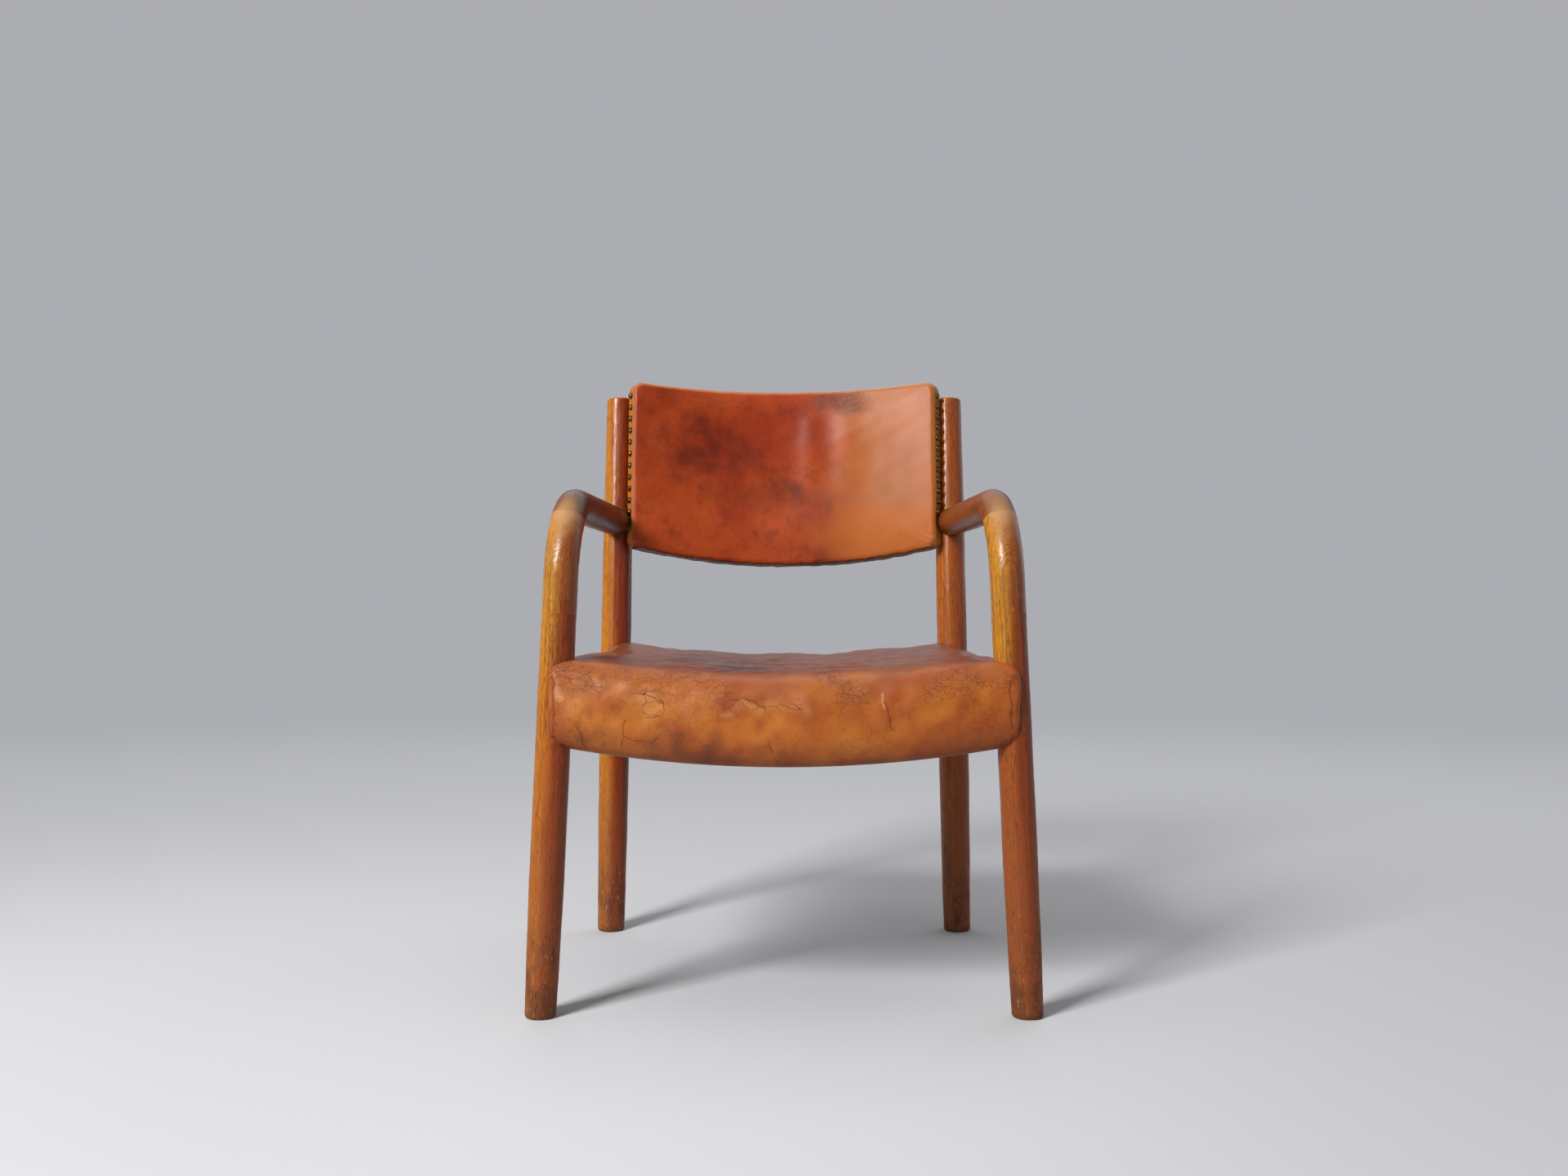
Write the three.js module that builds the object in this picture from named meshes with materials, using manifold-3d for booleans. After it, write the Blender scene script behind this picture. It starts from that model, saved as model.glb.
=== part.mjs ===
// Oak armchair with bent elbows, a saddle-shaped leather seat and a curved, nailed leather back.
// Millimetres, +Z up. The chair faces -Y, and "left" is the side of -X, as seen from its front.
// Pieces are built round the line of the front feet, and the whole chair is centred at the end.
import * as THREE from 'three';
import Module from 'manifold-3d';
import { mergeVertices } from 'three/addons/utils/BufferGeometryUtils.js';

const wasm = await Module();
wasm.setup();

// Fits and cutters
const FIT = 0.3; // gap between two pieces that touch
const OVERRUN = 5; // how far a cutter runs past what it cuts
const WELD = 0.0001; // points closer than this are one point

// Feet on the floor, between their centres
const FRONT_FOOT_SPACING = 592;
const REAR_FOOT_SPACING = 527;
const FOOT_DEPTH = 470;

// Front legs, elbows and arms: the leg's axis meets the arm's axis at the elbow's corner
const CORNER_SPACING = 543;
const CORNER_SETBACK = 33;
const CORNER_HEIGHT = 628;
const ARM_REAR_HEIGHT = 624;
const ELBOW_RADIUS = 100;
const LEG_DIAMETER = 42.8;
const FRONT_FOOT_DIAMETER = 38.4;
const LEG_TAPER_HEIGHT = 240;
const ARM_DIAMETER = 42.8;
const ARM_REAR_DIAMETER = 44;
const FOOT_RIM = 4;

// Comb joint between leg and elbow, and glue plane between elbow and arm
const COMB_HEIGHT = 489;
const COMB_LENGTH = 17;
const COMB_FINGER = 8.6;
const GLUE_HEIGHT = 618;
const GLUE_SETBACK = 14; // behind the elbow's corner
const GLUE_DIP_BACK = 25; // degrees
const GLUE_DIP_INWARD = 10; // degrees
const DOWEL_DIAMETER = 9;
const DOWEL_LENGTH = 32;
const ARM_TENON_DIAMETER = 20;
const ARM_TENON_PAST_AXIS = 10;

// Rear posts
const POST_HEIGHT = 822;
const POST_TOP_SPACING = 523;
const POST_LEAN_DEPTH = 113; // how far the top stands behind the foot
const POST_FOOT_DIAMETER = 40;
const POST_SWELL_DIAMETER = 46.4;
const POST_SWELL_HEIGHT = 350;
const POST_ARM_DIAMETER = 44.8;
const POST_TOP_DIAMETER = 41;
const POST_TOP_RIM = 5;

// Seat, over its leather
const SEAT_FRONT_WIDTH = 570;
const SEAT_REAR_WIDTH = 536;
const SEAT_SIDE_HEIGHT = 441; // floor to the top at the sides
const SEAT_THICKNESS = 112;
const SEAT_DIP = 25; // how far the middle hangs below the sides
const SEAT_BOW = 15; // how far the front swells forward in the middle
const SEAT_BEHIND_POST_AXIS = 10;
const SEAT_CORNER = 14;
const SEAT_LAP = 4; // how far the front stands before the legs that it covers
const SEAT_TOP_EDGE = 26;
const SEAT_BOTTOM_EDGE = 14;
const SEAT_CROWN = 4;
const SEAT_BULGE = 1.5;
const SEAT_LEATHER = 2.5;
const SEAT_TURN_UNDER = 18; // width of the leather that is turned under the rails

// Seat frame
const RAIL_HEIGHT = 68;
const RAIL_THICKNESS = 26;
const RAIL_TENON_THICKNESS = 10;
const RAIL_TENON_HEIGHT = 40;
const CROSS_TENON_LENGTH = 14;
const SIDE_TENON_LENGTH = 11;
const BLOCK_LEG = 42;
const BLOCK_HEIGHT = 38;
const STRAP_COUNT = 4;
const STRAP_WIDTH = 60;
const STRAP_THICKNESS = 2.5;
const STRAP_PITCH = 112;
const DUST_CLOTH_THICKNESS = 1;

// Back panel, in layers from the rear leather forward
const BACK_RADIUS = 560; // of the shell's rear face
const BACK_CHORD = 494; // between the rear edges
const BACK_ABOVE_POST = 20; // from the posts' tops, along the posts
const BACK_BELOW_ARM = 43; // from the arms' axes, along the posts
const BACK_TOP_DIP = 3;
const BACK_BOTTOM_BOW = 19;
const BACK_CORNER = 18;
const BACK_LEATHER = 2.2;
const BACK_SHELL = 8;
const BACK_STILE = 12;
const BACK_STILE_WIDTH = 26;
const BACK_PAD_OVER_STILE = 1.2;
const BACK_CROWN = 5;
const BACK_REAR_EDGE = 4;
const BACK_FRONT_EDGE = 7;
const BACK_TURN_UNDER = 18;
const LINING_THICKNESS = 1.5;

// Fasteners of the back
const NAIL_HEAD_DIAMETER = 8.3;
const NAIL_HEAD_HEIGHT = 2.8;
const NAIL_PIN_DIAMETER = 1.8;
const NAIL_PIN_LENGTH = 9;
const NAIL_BELOW_TOP = 22; // from the panel's top to the first nail
const NAIL_ABOVE_ARM = 15; // from the arm's axis to the last nail
const NAIL_PITCH_LEFT = 18.7; // about; a row is divided evenly
const NAIL_PITCH_RIGHT = 17;
const SCREW_LENGTH = 46;
const SCREW_DIAMETER = 4.5;
const SCREW_HEAD_DIAMETER = 9;
const SCREW_HEAD_HEIGHT = 3.5;
const SCREW_EDGE_DISTANCE = 12; // from the shell's end to the screw

// Sides of round pieces, and steps along curves
const ROUND_SIDES = 20;
const DOWEL_SIDES = 10;
const FASTENER_SIDES = 8;
const BORE_SIDES = 5;
const BEND_STEPS = 9;
const TAPER_STEPS = 3;
const SWELL_STEPS = 5;
const SADDLE_STEPS = 12; // over the whole width of the seat
const SEAT_OUTLINE_STEPS = [8, 3, 3, 1, 6, 1, 3, 3]; // one for each curve of the outline
const BACK_OUTLINE_STEPS = [8, 2, 2, 2, 8, 2, 2, 2];

// Shares: of a quarter turn, and of the way from the middle of a layer to its edge
const QUARTER_SHARES = [0, 0.5, 1];
const SEAT_UNDER_SHARE = 0.4;
const SEAT_OVER_SHARES = [0.65, 0.3];
const BACK_CORE_SHARES = [0.68, 0.36];
const SCREW_SHARES = [['low', 0.31], ['high', 0.85]]; // of the way from the arm to the post's top

const SIDES = [['left', -1], ['right', 1]];

// Finishes
const oak = (color) => new THREE.MeshStandardMaterial({ color, roughness: 0.42, metalness: 0 });
const LEG_OAK = oak(0xa5662a);
const ELBOW_OAK = oak(0xb07a38);
const ARM_OAK = oak(0x6e3a1a);
const POST_OAK = oak(0x8f4f22);
const FRAME_BEECH = new THREE.MeshStandardMaterial({ color: 0xc9a06a, roughness: 0.7, metalness: 0 });
const PLYWOOD = new THREE.MeshStandardMaterial({ color: 0xb58a58, roughness: 0.7, metalness: 0 });
const SEAT_HIDE = new THREE.MeshStandardMaterial({ color: 0xb0642c, roughness: 0.45, metalness: 0 });
const BACK_HIDE = new THREE.MeshStandardMaterial({ color: 0xa85227, roughness: 0.42, metalness: 0 });
const WADDING = new THREE.MeshStandardMaterial({ color: 0xd8cdb4, roughness: 0.95, metalness: 0 });
const WEBBING = new THREE.MeshStandardMaterial({ color: 0x8a7452, roughness: 0.9, metalness: 0 });
const DARK_CLOTH = new THREE.MeshStandardMaterial({ color: 0x3a322b, roughness: 0.95, metalness: 0 });
const OLD_BRASS = new THREE.MeshStandardMaterial({ color: 0x4a3826, roughness: 0.35, metalness: 0.9 });
const STEEL = new THREE.MeshStandardMaterial({ color: 0x8a8a86, roughness: 0.4, metalness: 0.9 });

const vector = (x, y, z) => new THREE.Vector3(x, y, z);
const chair = new THREE.Group();
const framework = new THREE.Group();
const seat = new THREE.Group();
const back = new THREE.Group();
chair.add(framework, seat, back);

// Turns a three.js geometry into a solid: equal points welded, flat triangles dropped, faces outward.
function solid(geometry) {
  const bare = new THREE.BufferGeometry();
  bare.setAttribute('position', geometry.getAttribute('position').clone());
  bare.setIndex(geometry.index);
  const welded = mergeVertices(bare, WELD);
  const position = welded.getAttribute('position');
  const corner = (i) => vector().fromBufferAttribute(position, i);
  const faces = [];
  let volume = 0;
  for (let i = 0; i < welded.index.count; i += 3) {
    const [a, b, c] = welded.index.array.slice(i, i + 3);
    if (a === b || b === c || c === a) continue;
    faces.push([a, b, c]);
    volume += corner(a).dot(corner(b).cross(corner(c)));
  }
  const outward = volume > 0 ? faces : faces.map(([a, b, c]) => [a, c, b]);
  return new wasm.Manifold(new wasm.Mesh({
    numProp: 3,
    vertProperties: Float32Array.from(position.array),
    triVerts: Uint32Array.from(outward.flat()),
  }));
}

// Turns a solid back into a three.js geometry.
function geometryOf(body) {
  const { vertProperties, triVerts } = body.getMesh();
  const geometry = new THREE.BufferGeometry();
  geometry.setAttribute('position', new THREE.BufferAttribute(Float32Array.from(vertProperties), 3));
  geometry.setIndex(Array.from(triVerts));
  geometry.computeVertexNormals();
  return geometry;
}

function addPiece(group, name, body, material) {
  const mesh = new THREE.Mesh(body.isBufferGeometry ? body : geometryOf(body), material);
  mesh.name = name;
  group.add(mesh);
  return mesh;
}

// A profile of [radius, height] pairs, turned about Z.
function turned(profile, sides = ROUND_SIDES) {
  const outline = profile.map(([radius, height]) => new THREE.Vector2(radius, height));
  return new THREE.LatheGeometry(outline, sides).rotateX(Math.PI / 2);
}

// A plain round bar along Z, from one height to another.
const bar = (radius, low, high, sides = ROUND_SIDES) => turned(
  [[0, low], [radius, low], [radius, high], [0, high]],
  sides,
);

// Closed rings of equal point counts become one skin, with a fan to a point over each end. A quad is split
// from its outer ring's first corner, so that the faces of neighbouring layers run parallel.
function skin(rings, first, last) {
  const count = rings[0].length;
  const middle = (ring) => ring.reduce((sum, p) => sum.add(p), vector()).divideScalar(count);
  const points = [...rings.flat(), first, last];
  const spread = rings.map((ring) => {
    const centre = middle(ring);
    return ring.reduce((sum, p) => sum + p.distanceTo(centre), 0);
  });
  const index = [];
  for (let i = 0; i < count; i += 1) {
    const j = (i + 1) % count;
    for (let k = 0; k + 1 < rings.length; k += 1) {
      const [a, b] = [k * count + i, k * count + j];
      const [c, d] = [a + count, b + count];
      if (spread[k + 1] > spread[k]) index.push(a, b, c, b, d, c);
      else index.push(a, b, d, a, d, c);
    }
    const end = (rings.length - 1) * count;
    index.push(points.length - 2, j, i, points.length - 1, end + i, end + j);
  }
  const geometry = new THREE.BufferGeometry().setFromPoints(points);
  geometry.setIndex(index);
  return geometry;
}

// A box between two corners.
function boxBetween(low, high) {
  const size = high.clone().sub(low);
  const centre = low.clone().add(high).divideScalar(2);
  return new THREE.BoxGeometry(size.x, size.y, size.z).translate(centre.x, centre.y, centre.z);
}

// The block on the far side of a plane, which stands for a half space.
const CUTTER_SIZE = 2 * (FOOT_DEPTH + CORNER_HEIGHT);

function beyond(point, normal) {
  const block = new THREE.BoxGeometry(CUTTER_SIZE, CUTTER_SIZE, CUTTER_SIZE);
  block.translate(0, 0, CUTTER_SIZE / 2);
  block.applyQuaternion(new THREE.Quaternion().setFromUnitVectors(vector(0, 0, 1), normal));
  return solid(block.translate(point.x, point.y, point.z));
}

// Axes: straight lines that the round pieces are turned about
const legAxis = (side) => ({
  foot: vector(side * FRONT_FOOT_SPACING / 2, 0, 0),
  top: vector(side * CORNER_SPACING / 2, CORNER_SETBACK, CORNER_HEIGHT),
});
const postAxis = (side) => ({
  foot: vector(side * REAR_FOOT_SPACING / 2, FOOT_DEPTH, 0),
  top: vector(side * POST_TOP_SPACING / 2, FOOT_DEPTH + POST_LEAN_DEPTH, POST_HEIGHT),
});
const pointAtHeight = (axis, height) => axis.foot.clone().lerp(axis.top, height / axis.top.z);
const directionOf = (axis) => axis.top.clone().sub(axis.foot).normalize();
const armEnd = (side) => pointAtHeight(postAxis(side), ARM_REAR_HEIGHT);

// The frame of an axis: X across the chair, Z up the axis, origin at the foot.
function axisFrame(axis) {
  const up = directionOf(axis);
  const across = vector(0, 1, 0).cross(up).normalize();
  return new THREE.Matrix4().makeBasis(across, up.clone().cross(across), up).setPosition(axis.foot);
}

// A foot is sawn level on its leaning leg and its rim is worn round.
function levelFoot(axis, diameter) {
  const radius = diameter / 2;
  const high = axis.top.z + OVERRUN;
  const worn = 1 - Math.SQRT1_2;
  const cup = turned([
    [0, 0],
    [radius - FOOT_RIM, 0],
    [radius - FOOT_RIM * worn, FOOT_RIM * worn],
    [radius, FOOT_RIM],
    [radius + high, FOOT_RIM + high],
    [0, FOOT_RIM + high],
  ]);
  return solid(cup.translate(axis.foot.x, axis.foot.y, 0));
}

// Comb joint: the elbow has three fingers and the leg two, side by side across the chair.
const combCentres = { elbow: [-2 * COMB_FINGER, 0, 2 * COMB_FINGER], leg: [-COMB_FINGER, COMB_FINGER] };

function combSlots(axis, centres, low, high, width) {
  const reach = LEG_DIAMETER;
  const slots = centres.map((centre) => {
    const outer = Math.abs(centre) > COMB_FINGER ? Math.sign(centre) * OVERRUN : 0;
    const left = centre - width / 2 + Math.min(outer, 0);
    const right = centre + width / 2 + Math.max(outer, 0);
    const slot = boxBetween(vector(left, -reach, low), vector(right, reach, high));
    return solid(slot.applyMatrix4(axisFrame(axis)));
  });
  return slots.reduce((all, slot) => all.add(slot));
}

function frontLegBlank(side, grow = 0) {
  const axis = legAxis(side);
  const foot = FRONT_FOOT_DIAMETER / 2;
  const full = LEG_DIAMETER / 2;
  const taper = Array.from({ length: TAPER_STEPS + 1 }, (_, step) => {
    const share = step / TAPER_STEPS;
    const radius = foot + (full - foot) * Math.sin(share * Math.PI / 2);
    return [radius + grow, share * LEG_TAPER_HEIGHT];
  });
  const top = COMB_HEIGHT + COMB_LENGTH;
  const profile = [[0, -OVERRUN], [foot + grow, -OVERRUN], ...taper, [full + grow, top], [0, top]];
  return solid(turned(profile).applyMatrix4(axisFrame(axis)));
}

function frontLeg(side) {
  const axis = legAxis(side);
  const top = COMB_HEIGHT + COMB_LENGTH;
  return frontLegBlank(side)
    .intersect(levelFoot(axis, FRONT_FOOT_DIAMETER))
    .subtract(combSlots(axis, combCentres.elbow, COMB_HEIGHT, top + OVERRUN, COMB_FINGER));
}

// The bow runs up the leg from the comb, round the elbow and back along the arm to the post's axis.
function bowStations(side) {
  const axis = legAxis(side);
  const up = directionOf(axis);
  const corner = axis.top;
  const end = armEnd(side);
  const along = end.clone().sub(corner).normalize();
  const angle = up.angleTo(along);
  const tangent = ELBOW_RADIUS * Math.tan(angle / 2);
  const start = corner.clone().addScaledVector(up, -tangent);
  const inward = along.clone().addScaledVector(up, -along.dot(up)).normalize();
  const centre = start.clone().addScaledVector(inward, ELBOW_RADIUS);
  const stations = [{
    at: axis.foot.clone().addScaledVector(up, COMB_HEIGHT + FIT),
    way: up,
    radius: LEG_DIAMETER / 2,
  }];
  for (let step = 0; step <= BEND_STEPS; step += 1) {
    const turn = angle * step / BEND_STEPS;
    const way = up.clone().multiplyScalar(Math.cos(turn)).addScaledVector(inward, Math.sin(turn));
    const at = centre.clone()
      .addScaledVector(inward, -ELBOW_RADIUS * Math.cos(turn))
      .addScaledVector(up, ELBOW_RADIUS * Math.sin(turn));
    stations.push({ at, way, radius: ARM_DIAMETER / 2 });
  }
  stations.push({ at: end, way: along, radius: ARM_REAR_DIAMETER / 2 });
  return stations;
}

function bow(side, grow = 0) {
  const stations = bowStations(side);
  const binormal = stations[0].way.clone().cross(stations.at(-1).way).normalize();
  const rings = stations.map(({ at, way, radius }) => {
    const normal = way.clone().cross(binormal);
    return Array.from({ length: ROUND_SIDES }, (_, i) => {
      const turn = 2 * Math.PI * i / ROUND_SIDES;
      return at.clone()
        .addScaledVector(binormal, (radius + grow) * Math.cos(turn))
        .addScaledVector(normal, (radius + grow) * Math.sin(turn));
    });
  });
  return skin(rings, stations[0].at, stations.at(-1).at);
}

// Glue plane: the arm's blank lies on the elbow's, on a plane that dips to the back and inward.
function glueNormal(side) {
  const dipBack = THREE.MathUtils.degToRad(GLUE_DIP_BACK);
  const dipInward = THREE.MathUtils.degToRad(GLUE_DIP_INWARD);
  return vector(-side * Math.tan(dipInward), Math.tan(dipBack), 1).normalize();
}
const gluePoint = (side) => vector(side * CORNER_SPACING / 2, CORNER_SETBACK + GLUE_SETBACK, GLUE_HEIGHT);

// The dowel crosses the glue plane where the bow's centre line does.
function dowelCentre(side) {
  const normal = glueNormal(side);
  const point = gluePoint(side);
  const above = (station) => station.at.clone().sub(point).dot(normal);
  const stations = bowStations(side);
  const next = stations.findIndex((station) => above(station) > 0);
  const [low, high] = [stations[next - 1], stations[next]];
  return low.at.clone().lerp(high.at, above(low) / (above(low) - above(high)));
}

function dowelSolid(side, grow = 0) {
  const half = DOWEL_LENGTH / 2 + grow;
  const rod = bar(DOWEL_DIAMETER / 2 + grow, -half, half, DOWEL_SIDES);
  rod.applyQuaternion(new THREE.Quaternion().setFromUnitVectors(vector(0, 0, 1), glueNormal(side)));
  const centre = dowelCentre(side);
  return solid(rod.translate(centre.x, centre.y, centre.z));
}

function elbow(side) {
  const axis = legAxis(side);
  const normal = glueNormal(side);
  const top = COMB_HEIGHT + COMB_LENGTH;
  const slotWidth = COMB_FINGER + 2 * FIT;
  const plane = gluePoint(side).addScaledVector(normal, -FIT);
  return solid(bow(side))
    .subtract(beyond(plane, normal))
    .subtract(combSlots(axis, combCentres.leg, COMB_HEIGHT - OVERRUN, top + FIT, slotWidth))
    .subtract(dowelSolid(side, FIT));
}

// Rear posts: a spline through four diameters, eased round at the top.
function postBlank(side, grow = 0) {
  const axis = postAxis(side);
  const length = axis.top.distanceTo(axis.foot);
  const swell = new THREE.SplineCurve([
    new THREE.Vector2(POST_FOOT_DIAMETER / 2, 0),
    new THREE.Vector2(POST_SWELL_DIAMETER / 2, POST_SWELL_HEIGHT),
    new THREE.Vector2(POST_ARM_DIAMETER / 2, ARM_REAR_HEIGHT),
    new THREE.Vector2(POST_TOP_DIAMETER / 2, length - POST_TOP_RIM),
  ]).getPoints(SWELL_STEPS).map(({ x, y }) => [x + grow, y]);
  const top = POST_TOP_DIAMETER / 2;
  const eased = 1 - Math.SQRT1_2;
  return solid(turned([
    [0, -OVERRUN],
    [POST_FOOT_DIAMETER / 2 + grow, -OVERRUN],
    ...swell,
    [top - POST_TOP_RIM * eased + grow, length - POST_TOP_RIM * eased + grow],
    [top - POST_TOP_RIM + grow, length + grow],
    [0, length + grow],
  ]).applyMatrix4(axisFrame(axis)));
}

// The arm ends in a cope round the post, with a round tenon into it.
function armTenon(side, grow = 0) {
  const end = armEnd(side);
  const along = end.clone().sub(legAxis(side).top).normalize();
  const rod = bar(ARM_TENON_DIAMETER / 2 + grow, -POST_ARM_DIAMETER, ARM_TENON_PAST_AXIS + grow);
  rod.applyQuaternion(new THREE.Quaternion().setFromUnitVectors(vector(0, 0, 1), along));
  return solid(rod.translate(end.x, end.y, end.z));
}

function arm(side) {
  return solid(bow(side))
    .intersect(beyond(gluePoint(side), glueNormal(side)))
    .subtract(postBlank(side, FIT))
    .add(armTenon(side))
    .subtract(dowelSolid(side, FIT));
}

// Seat: places that follow from the legs and posts
const SEAT_BOTTOM_SIDE = SEAT_SIDE_HEIGHT - SEAT_THICKNESS;
const SEAT_FRONT_Y = pointAtHeight(legAxis(1), SEAT_BOTTOM_SIDE - SEAT_DIP).y
  - LEG_DIAMETER / 2 - SEAT_LAP;
const SEAT_REAR_Y = pointAtHeight(postAxis(1), SEAT_SIDE_HEIGHT).y + SEAT_BEHIND_POST_AXIS;
const SEAT_MIDDLE_Y = (SEAT_FRONT_Y + SEAT_REAR_Y) / 2;
const SEAT_HALF_DEPTH = (SEAT_REAR_Y - SEAT_FRONT_Y) / 2;
const SEAT_HALF_WIDTH = SEAT_FRONT_WIDTH / 2;
const FRAME_INSET = SEAT_LEATHER + FIT;
const RAIL_TOP = FRAME_INSET + RAIL_HEIGHT; // over the seat's underside
const STRAP_TOP = RAIL_TOP + FIT + STRAP_THICKNESS;

// Plan of the seat: a bowed front, straight sides that draw in, and a straight rear.
const SEAT_OUTLINE = (() => {
  const front = SEAT_FRONT_WIDTH / 2;
  const rear = SEAT_REAR_WIDTH / 2;
  const shape = new THREE.Shape();
  shape.moveTo(-front + SEAT_CORNER, SEAT_FRONT_Y);
  shape.quadraticCurveTo(0, SEAT_FRONT_Y - 2 * SEAT_BOW, front - SEAT_CORNER, SEAT_FRONT_Y);
  shape.quadraticCurveTo(front, SEAT_FRONT_Y, front, SEAT_FRONT_Y + SEAT_CORNER);
  shape.lineTo(rear, SEAT_REAR_Y - SEAT_CORNER);
  shape.quadraticCurveTo(rear, SEAT_REAR_Y, rear - SEAT_CORNER, SEAT_REAR_Y);
  shape.lineTo(-rear + SEAT_CORNER, SEAT_REAR_Y);
  shape.quadraticCurveTo(-rear, SEAT_REAR_Y, -rear, SEAT_REAR_Y - SEAT_CORNER);
  shape.lineTo(-front, SEAT_FRONT_Y + SEAT_CORNER);
  shape.quadraticCurveTo(-front, SEAT_FRONT_Y, -front + SEAT_CORNER, SEAT_FRONT_Y);
  return shape.curves.flatMap((curve, i) => curve.getPoints(SEAT_OUTLINE_STEPS[i]).slice(0, -1));
})();

// The underside hangs in a saddle from side to side; every layer of the seat follows it.
const saddle = (x) => SEAT_BOTTOM_SIDE - SEAT_DIP * (1 - (x / SEAT_HALF_WIDTH) ** 2);

function seatRing(inset, height) {
  const wide = (SEAT_HALF_WIDTH - inset) / SEAT_HALF_WIDTH;
  const deep = (SEAT_HALF_DEPTH - inset) / SEAT_HALF_DEPTH;
  return SEAT_OUTLINE.map(({ x, y }) => {
    const across = x * wide;
    return vector(across, SEAT_MIDDLE_Y + (y - SEAT_MIDDLE_Y) * deep, saddle(across) + height);
  });
}

// The whole cushion as one rounded form, or a smaller one inside it by a given shrink.
function seatForm(shrink) {
  const quarter = QUARTER_SHARES.map((share) => share * Math.PI / 2);
  const low = SEAT_BOTTOM_EDGE;
  const high = SEAT_TOP_EDGE;
  const under = [seatRing(SEAT_HALF_DEPTH * (1 - SEAT_UNDER_SHARE), shrink)];
  const lower = quarter.map((turn) => {
    const radius = low - shrink;
    return seatRing(shrink + radius * (1 - Math.sin(turn)), shrink + radius * (1 - Math.cos(turn)));
  });
  const waist = [seatRing(shrink - SEAT_BULGE, (SEAT_THICKNESS + low - high) / 2)];
  const upper = quarter.map((turn) => {
    const radius = high - shrink;
    const top = SEAT_THICKNESS - SEAT_CROWN - high + radius * Math.sin(turn);
    return seatRing(shrink + radius * (1 - Math.cos(turn)), top);
  });
  const over = SEAT_OVER_SHARES.map((share) => seatRing(
    high + (SEAT_HALF_DEPTH - high) * (1 - share),
    SEAT_THICKNESS - shrink - SEAT_CROWN * share ** 2,
  ));
  return solid(skin(
    [...under, ...lower, ...waist, ...upper, ...over],
    vector(0, SEAT_MIDDLE_Y, saddle(0) + shrink),
    vector(0, SEAT_MIDDLE_Y, saddle(0) + SEAT_THICKNESS - shrink),
  ));
}

// A saddle-shaped slab between two heights over the underside, cut to a width and a depth.
function saddleSlab(low, high, left, right, front, rear) {
  const count = Math.ceil(SADDLE_STEPS * (right - left) / SEAT_FRONT_WIDTH);
  const steps = Array.from({ length: count + 1 }, (_, i) => left + (right - left) * i / count);
  const shape = new THREE.Shape([
    ...steps.map((x) => new THREE.Vector2(x, saddle(x) + low)),
    ...steps.toReversed().map((x) => new THREE.Vector2(x, saddle(x) + high)),
  ]);
  const slab = new THREE.ExtrudeGeometry(shape, { depth: rear - front, bevelEnabled: false });
  return solid(slab.rotateX(Math.PI / 2).translate(0, rear, 0));
}

// The same slab over the whole plan of the seat.
const seatSlab = (low, high) => saddleSlab(
  low,
  high,
  -SEAT_HALF_WIDTH - OVERRUN,
  SEAT_HALF_WIDTH + OVERRUN,
  SEAT_FRONT_Y - SEAT_BOW - OVERRUN,
  SEAT_REAR_Y + OVERRUN,
);

// Lines of the side rails in plan: their inner faces, from the front rail to the rear rail.
const innerFace = (y) => {
  const share = (y - SEAT_FRONT_Y) / (SEAT_REAR_Y - SEAT_FRONT_Y);
  const outer = (SEAT_FRONT_WIDTH + (SEAT_REAR_WIDTH - SEAT_FRONT_WIDTH) * share) / 2;
  return outer - FRAME_INSET - RAIL_THICKNESS;
};
const FRONT_RAIL_INNER_Y = SEAT_FRONT_Y + FRAME_INSET + RAIL_THICKNESS;
const REAR_RAIL_INNER_Y = SEAT_REAR_Y - FRAME_INSET - RAIL_THICKNESS;

// A prism over a plan outline, as tall as the seat.
function seatPrism(points) {
  const shape = new THREE.Shape(points.map(([x, y]) => new THREE.Vector2(x, y)));
  const low = SEAT_BOTTOM_SIDE - SEAT_DIP - OVERRUN;
  const depth = SEAT_SIDE_HEIGHT + OVERRUN - low;
  return solid(new THREE.ExtrudeGeometry(shape, { depth, bevelEnabled: false }).translate(0, 0, low));
}

const RAIL_MIDDLE = RAIL_TOP - RAIL_HEIGHT / 2;
const railBlank = seatForm(FRAME_INSET).intersect(seatSlab(0, RAIL_TOP));
const legsAndPosts = (grow) => SIDES
  .flatMap(([, side]) => [frontLegBlank(side, grow), postBlank(side, grow)])
  .reduce((all, body) => all.add(body));
const roundCopes = legsAndPosts(FIT);

// A tenon is a flat tongue that starts in its rail and ends inside a leg or post.
function tenon(from, way, length, grow = 0) {
  const tongue = boxBetween(
    vector(-RAIL_THICKNESS, -RAIL_TENON_THICKNESS / 2 - grow, -RAIL_TENON_HEIGHT / 2 - grow),
    vector(length + grow, RAIL_TENON_THICKNESS / 2 + grow, RAIL_TENON_HEIGHT / 2 + grow),
  );
  tongue.applyQuaternion(new THREE.Quaternion().setFromUnitVectors(vector(1, 0, 0), way));
  return solid(tongue.translate(from.x, from.y, from.z));
}

// Where a rail's centre line, at a given offset, enters a round leg.
const entry = (axis, diameter, offset) => Math.sqrt((diameter / 2) ** 2 - offset ** 2);

function crossTenon(side, axis, diameter, y, grow = 0) {
  const x = SEAT_HALF_WIDTH - FRAME_INSET;
  const middle = saddle(x) + RAIL_MIDDLE;
  const centre = pointAtHeight(axis, middle);
  const depth = entry(axis, diameter, y - centre.y);
  const from = vector(centre.x - side * depth, y, middle);
  return tenon(from, vector(side, 0, 0), CROSS_TENON_LENGTH, grow);
}

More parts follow.
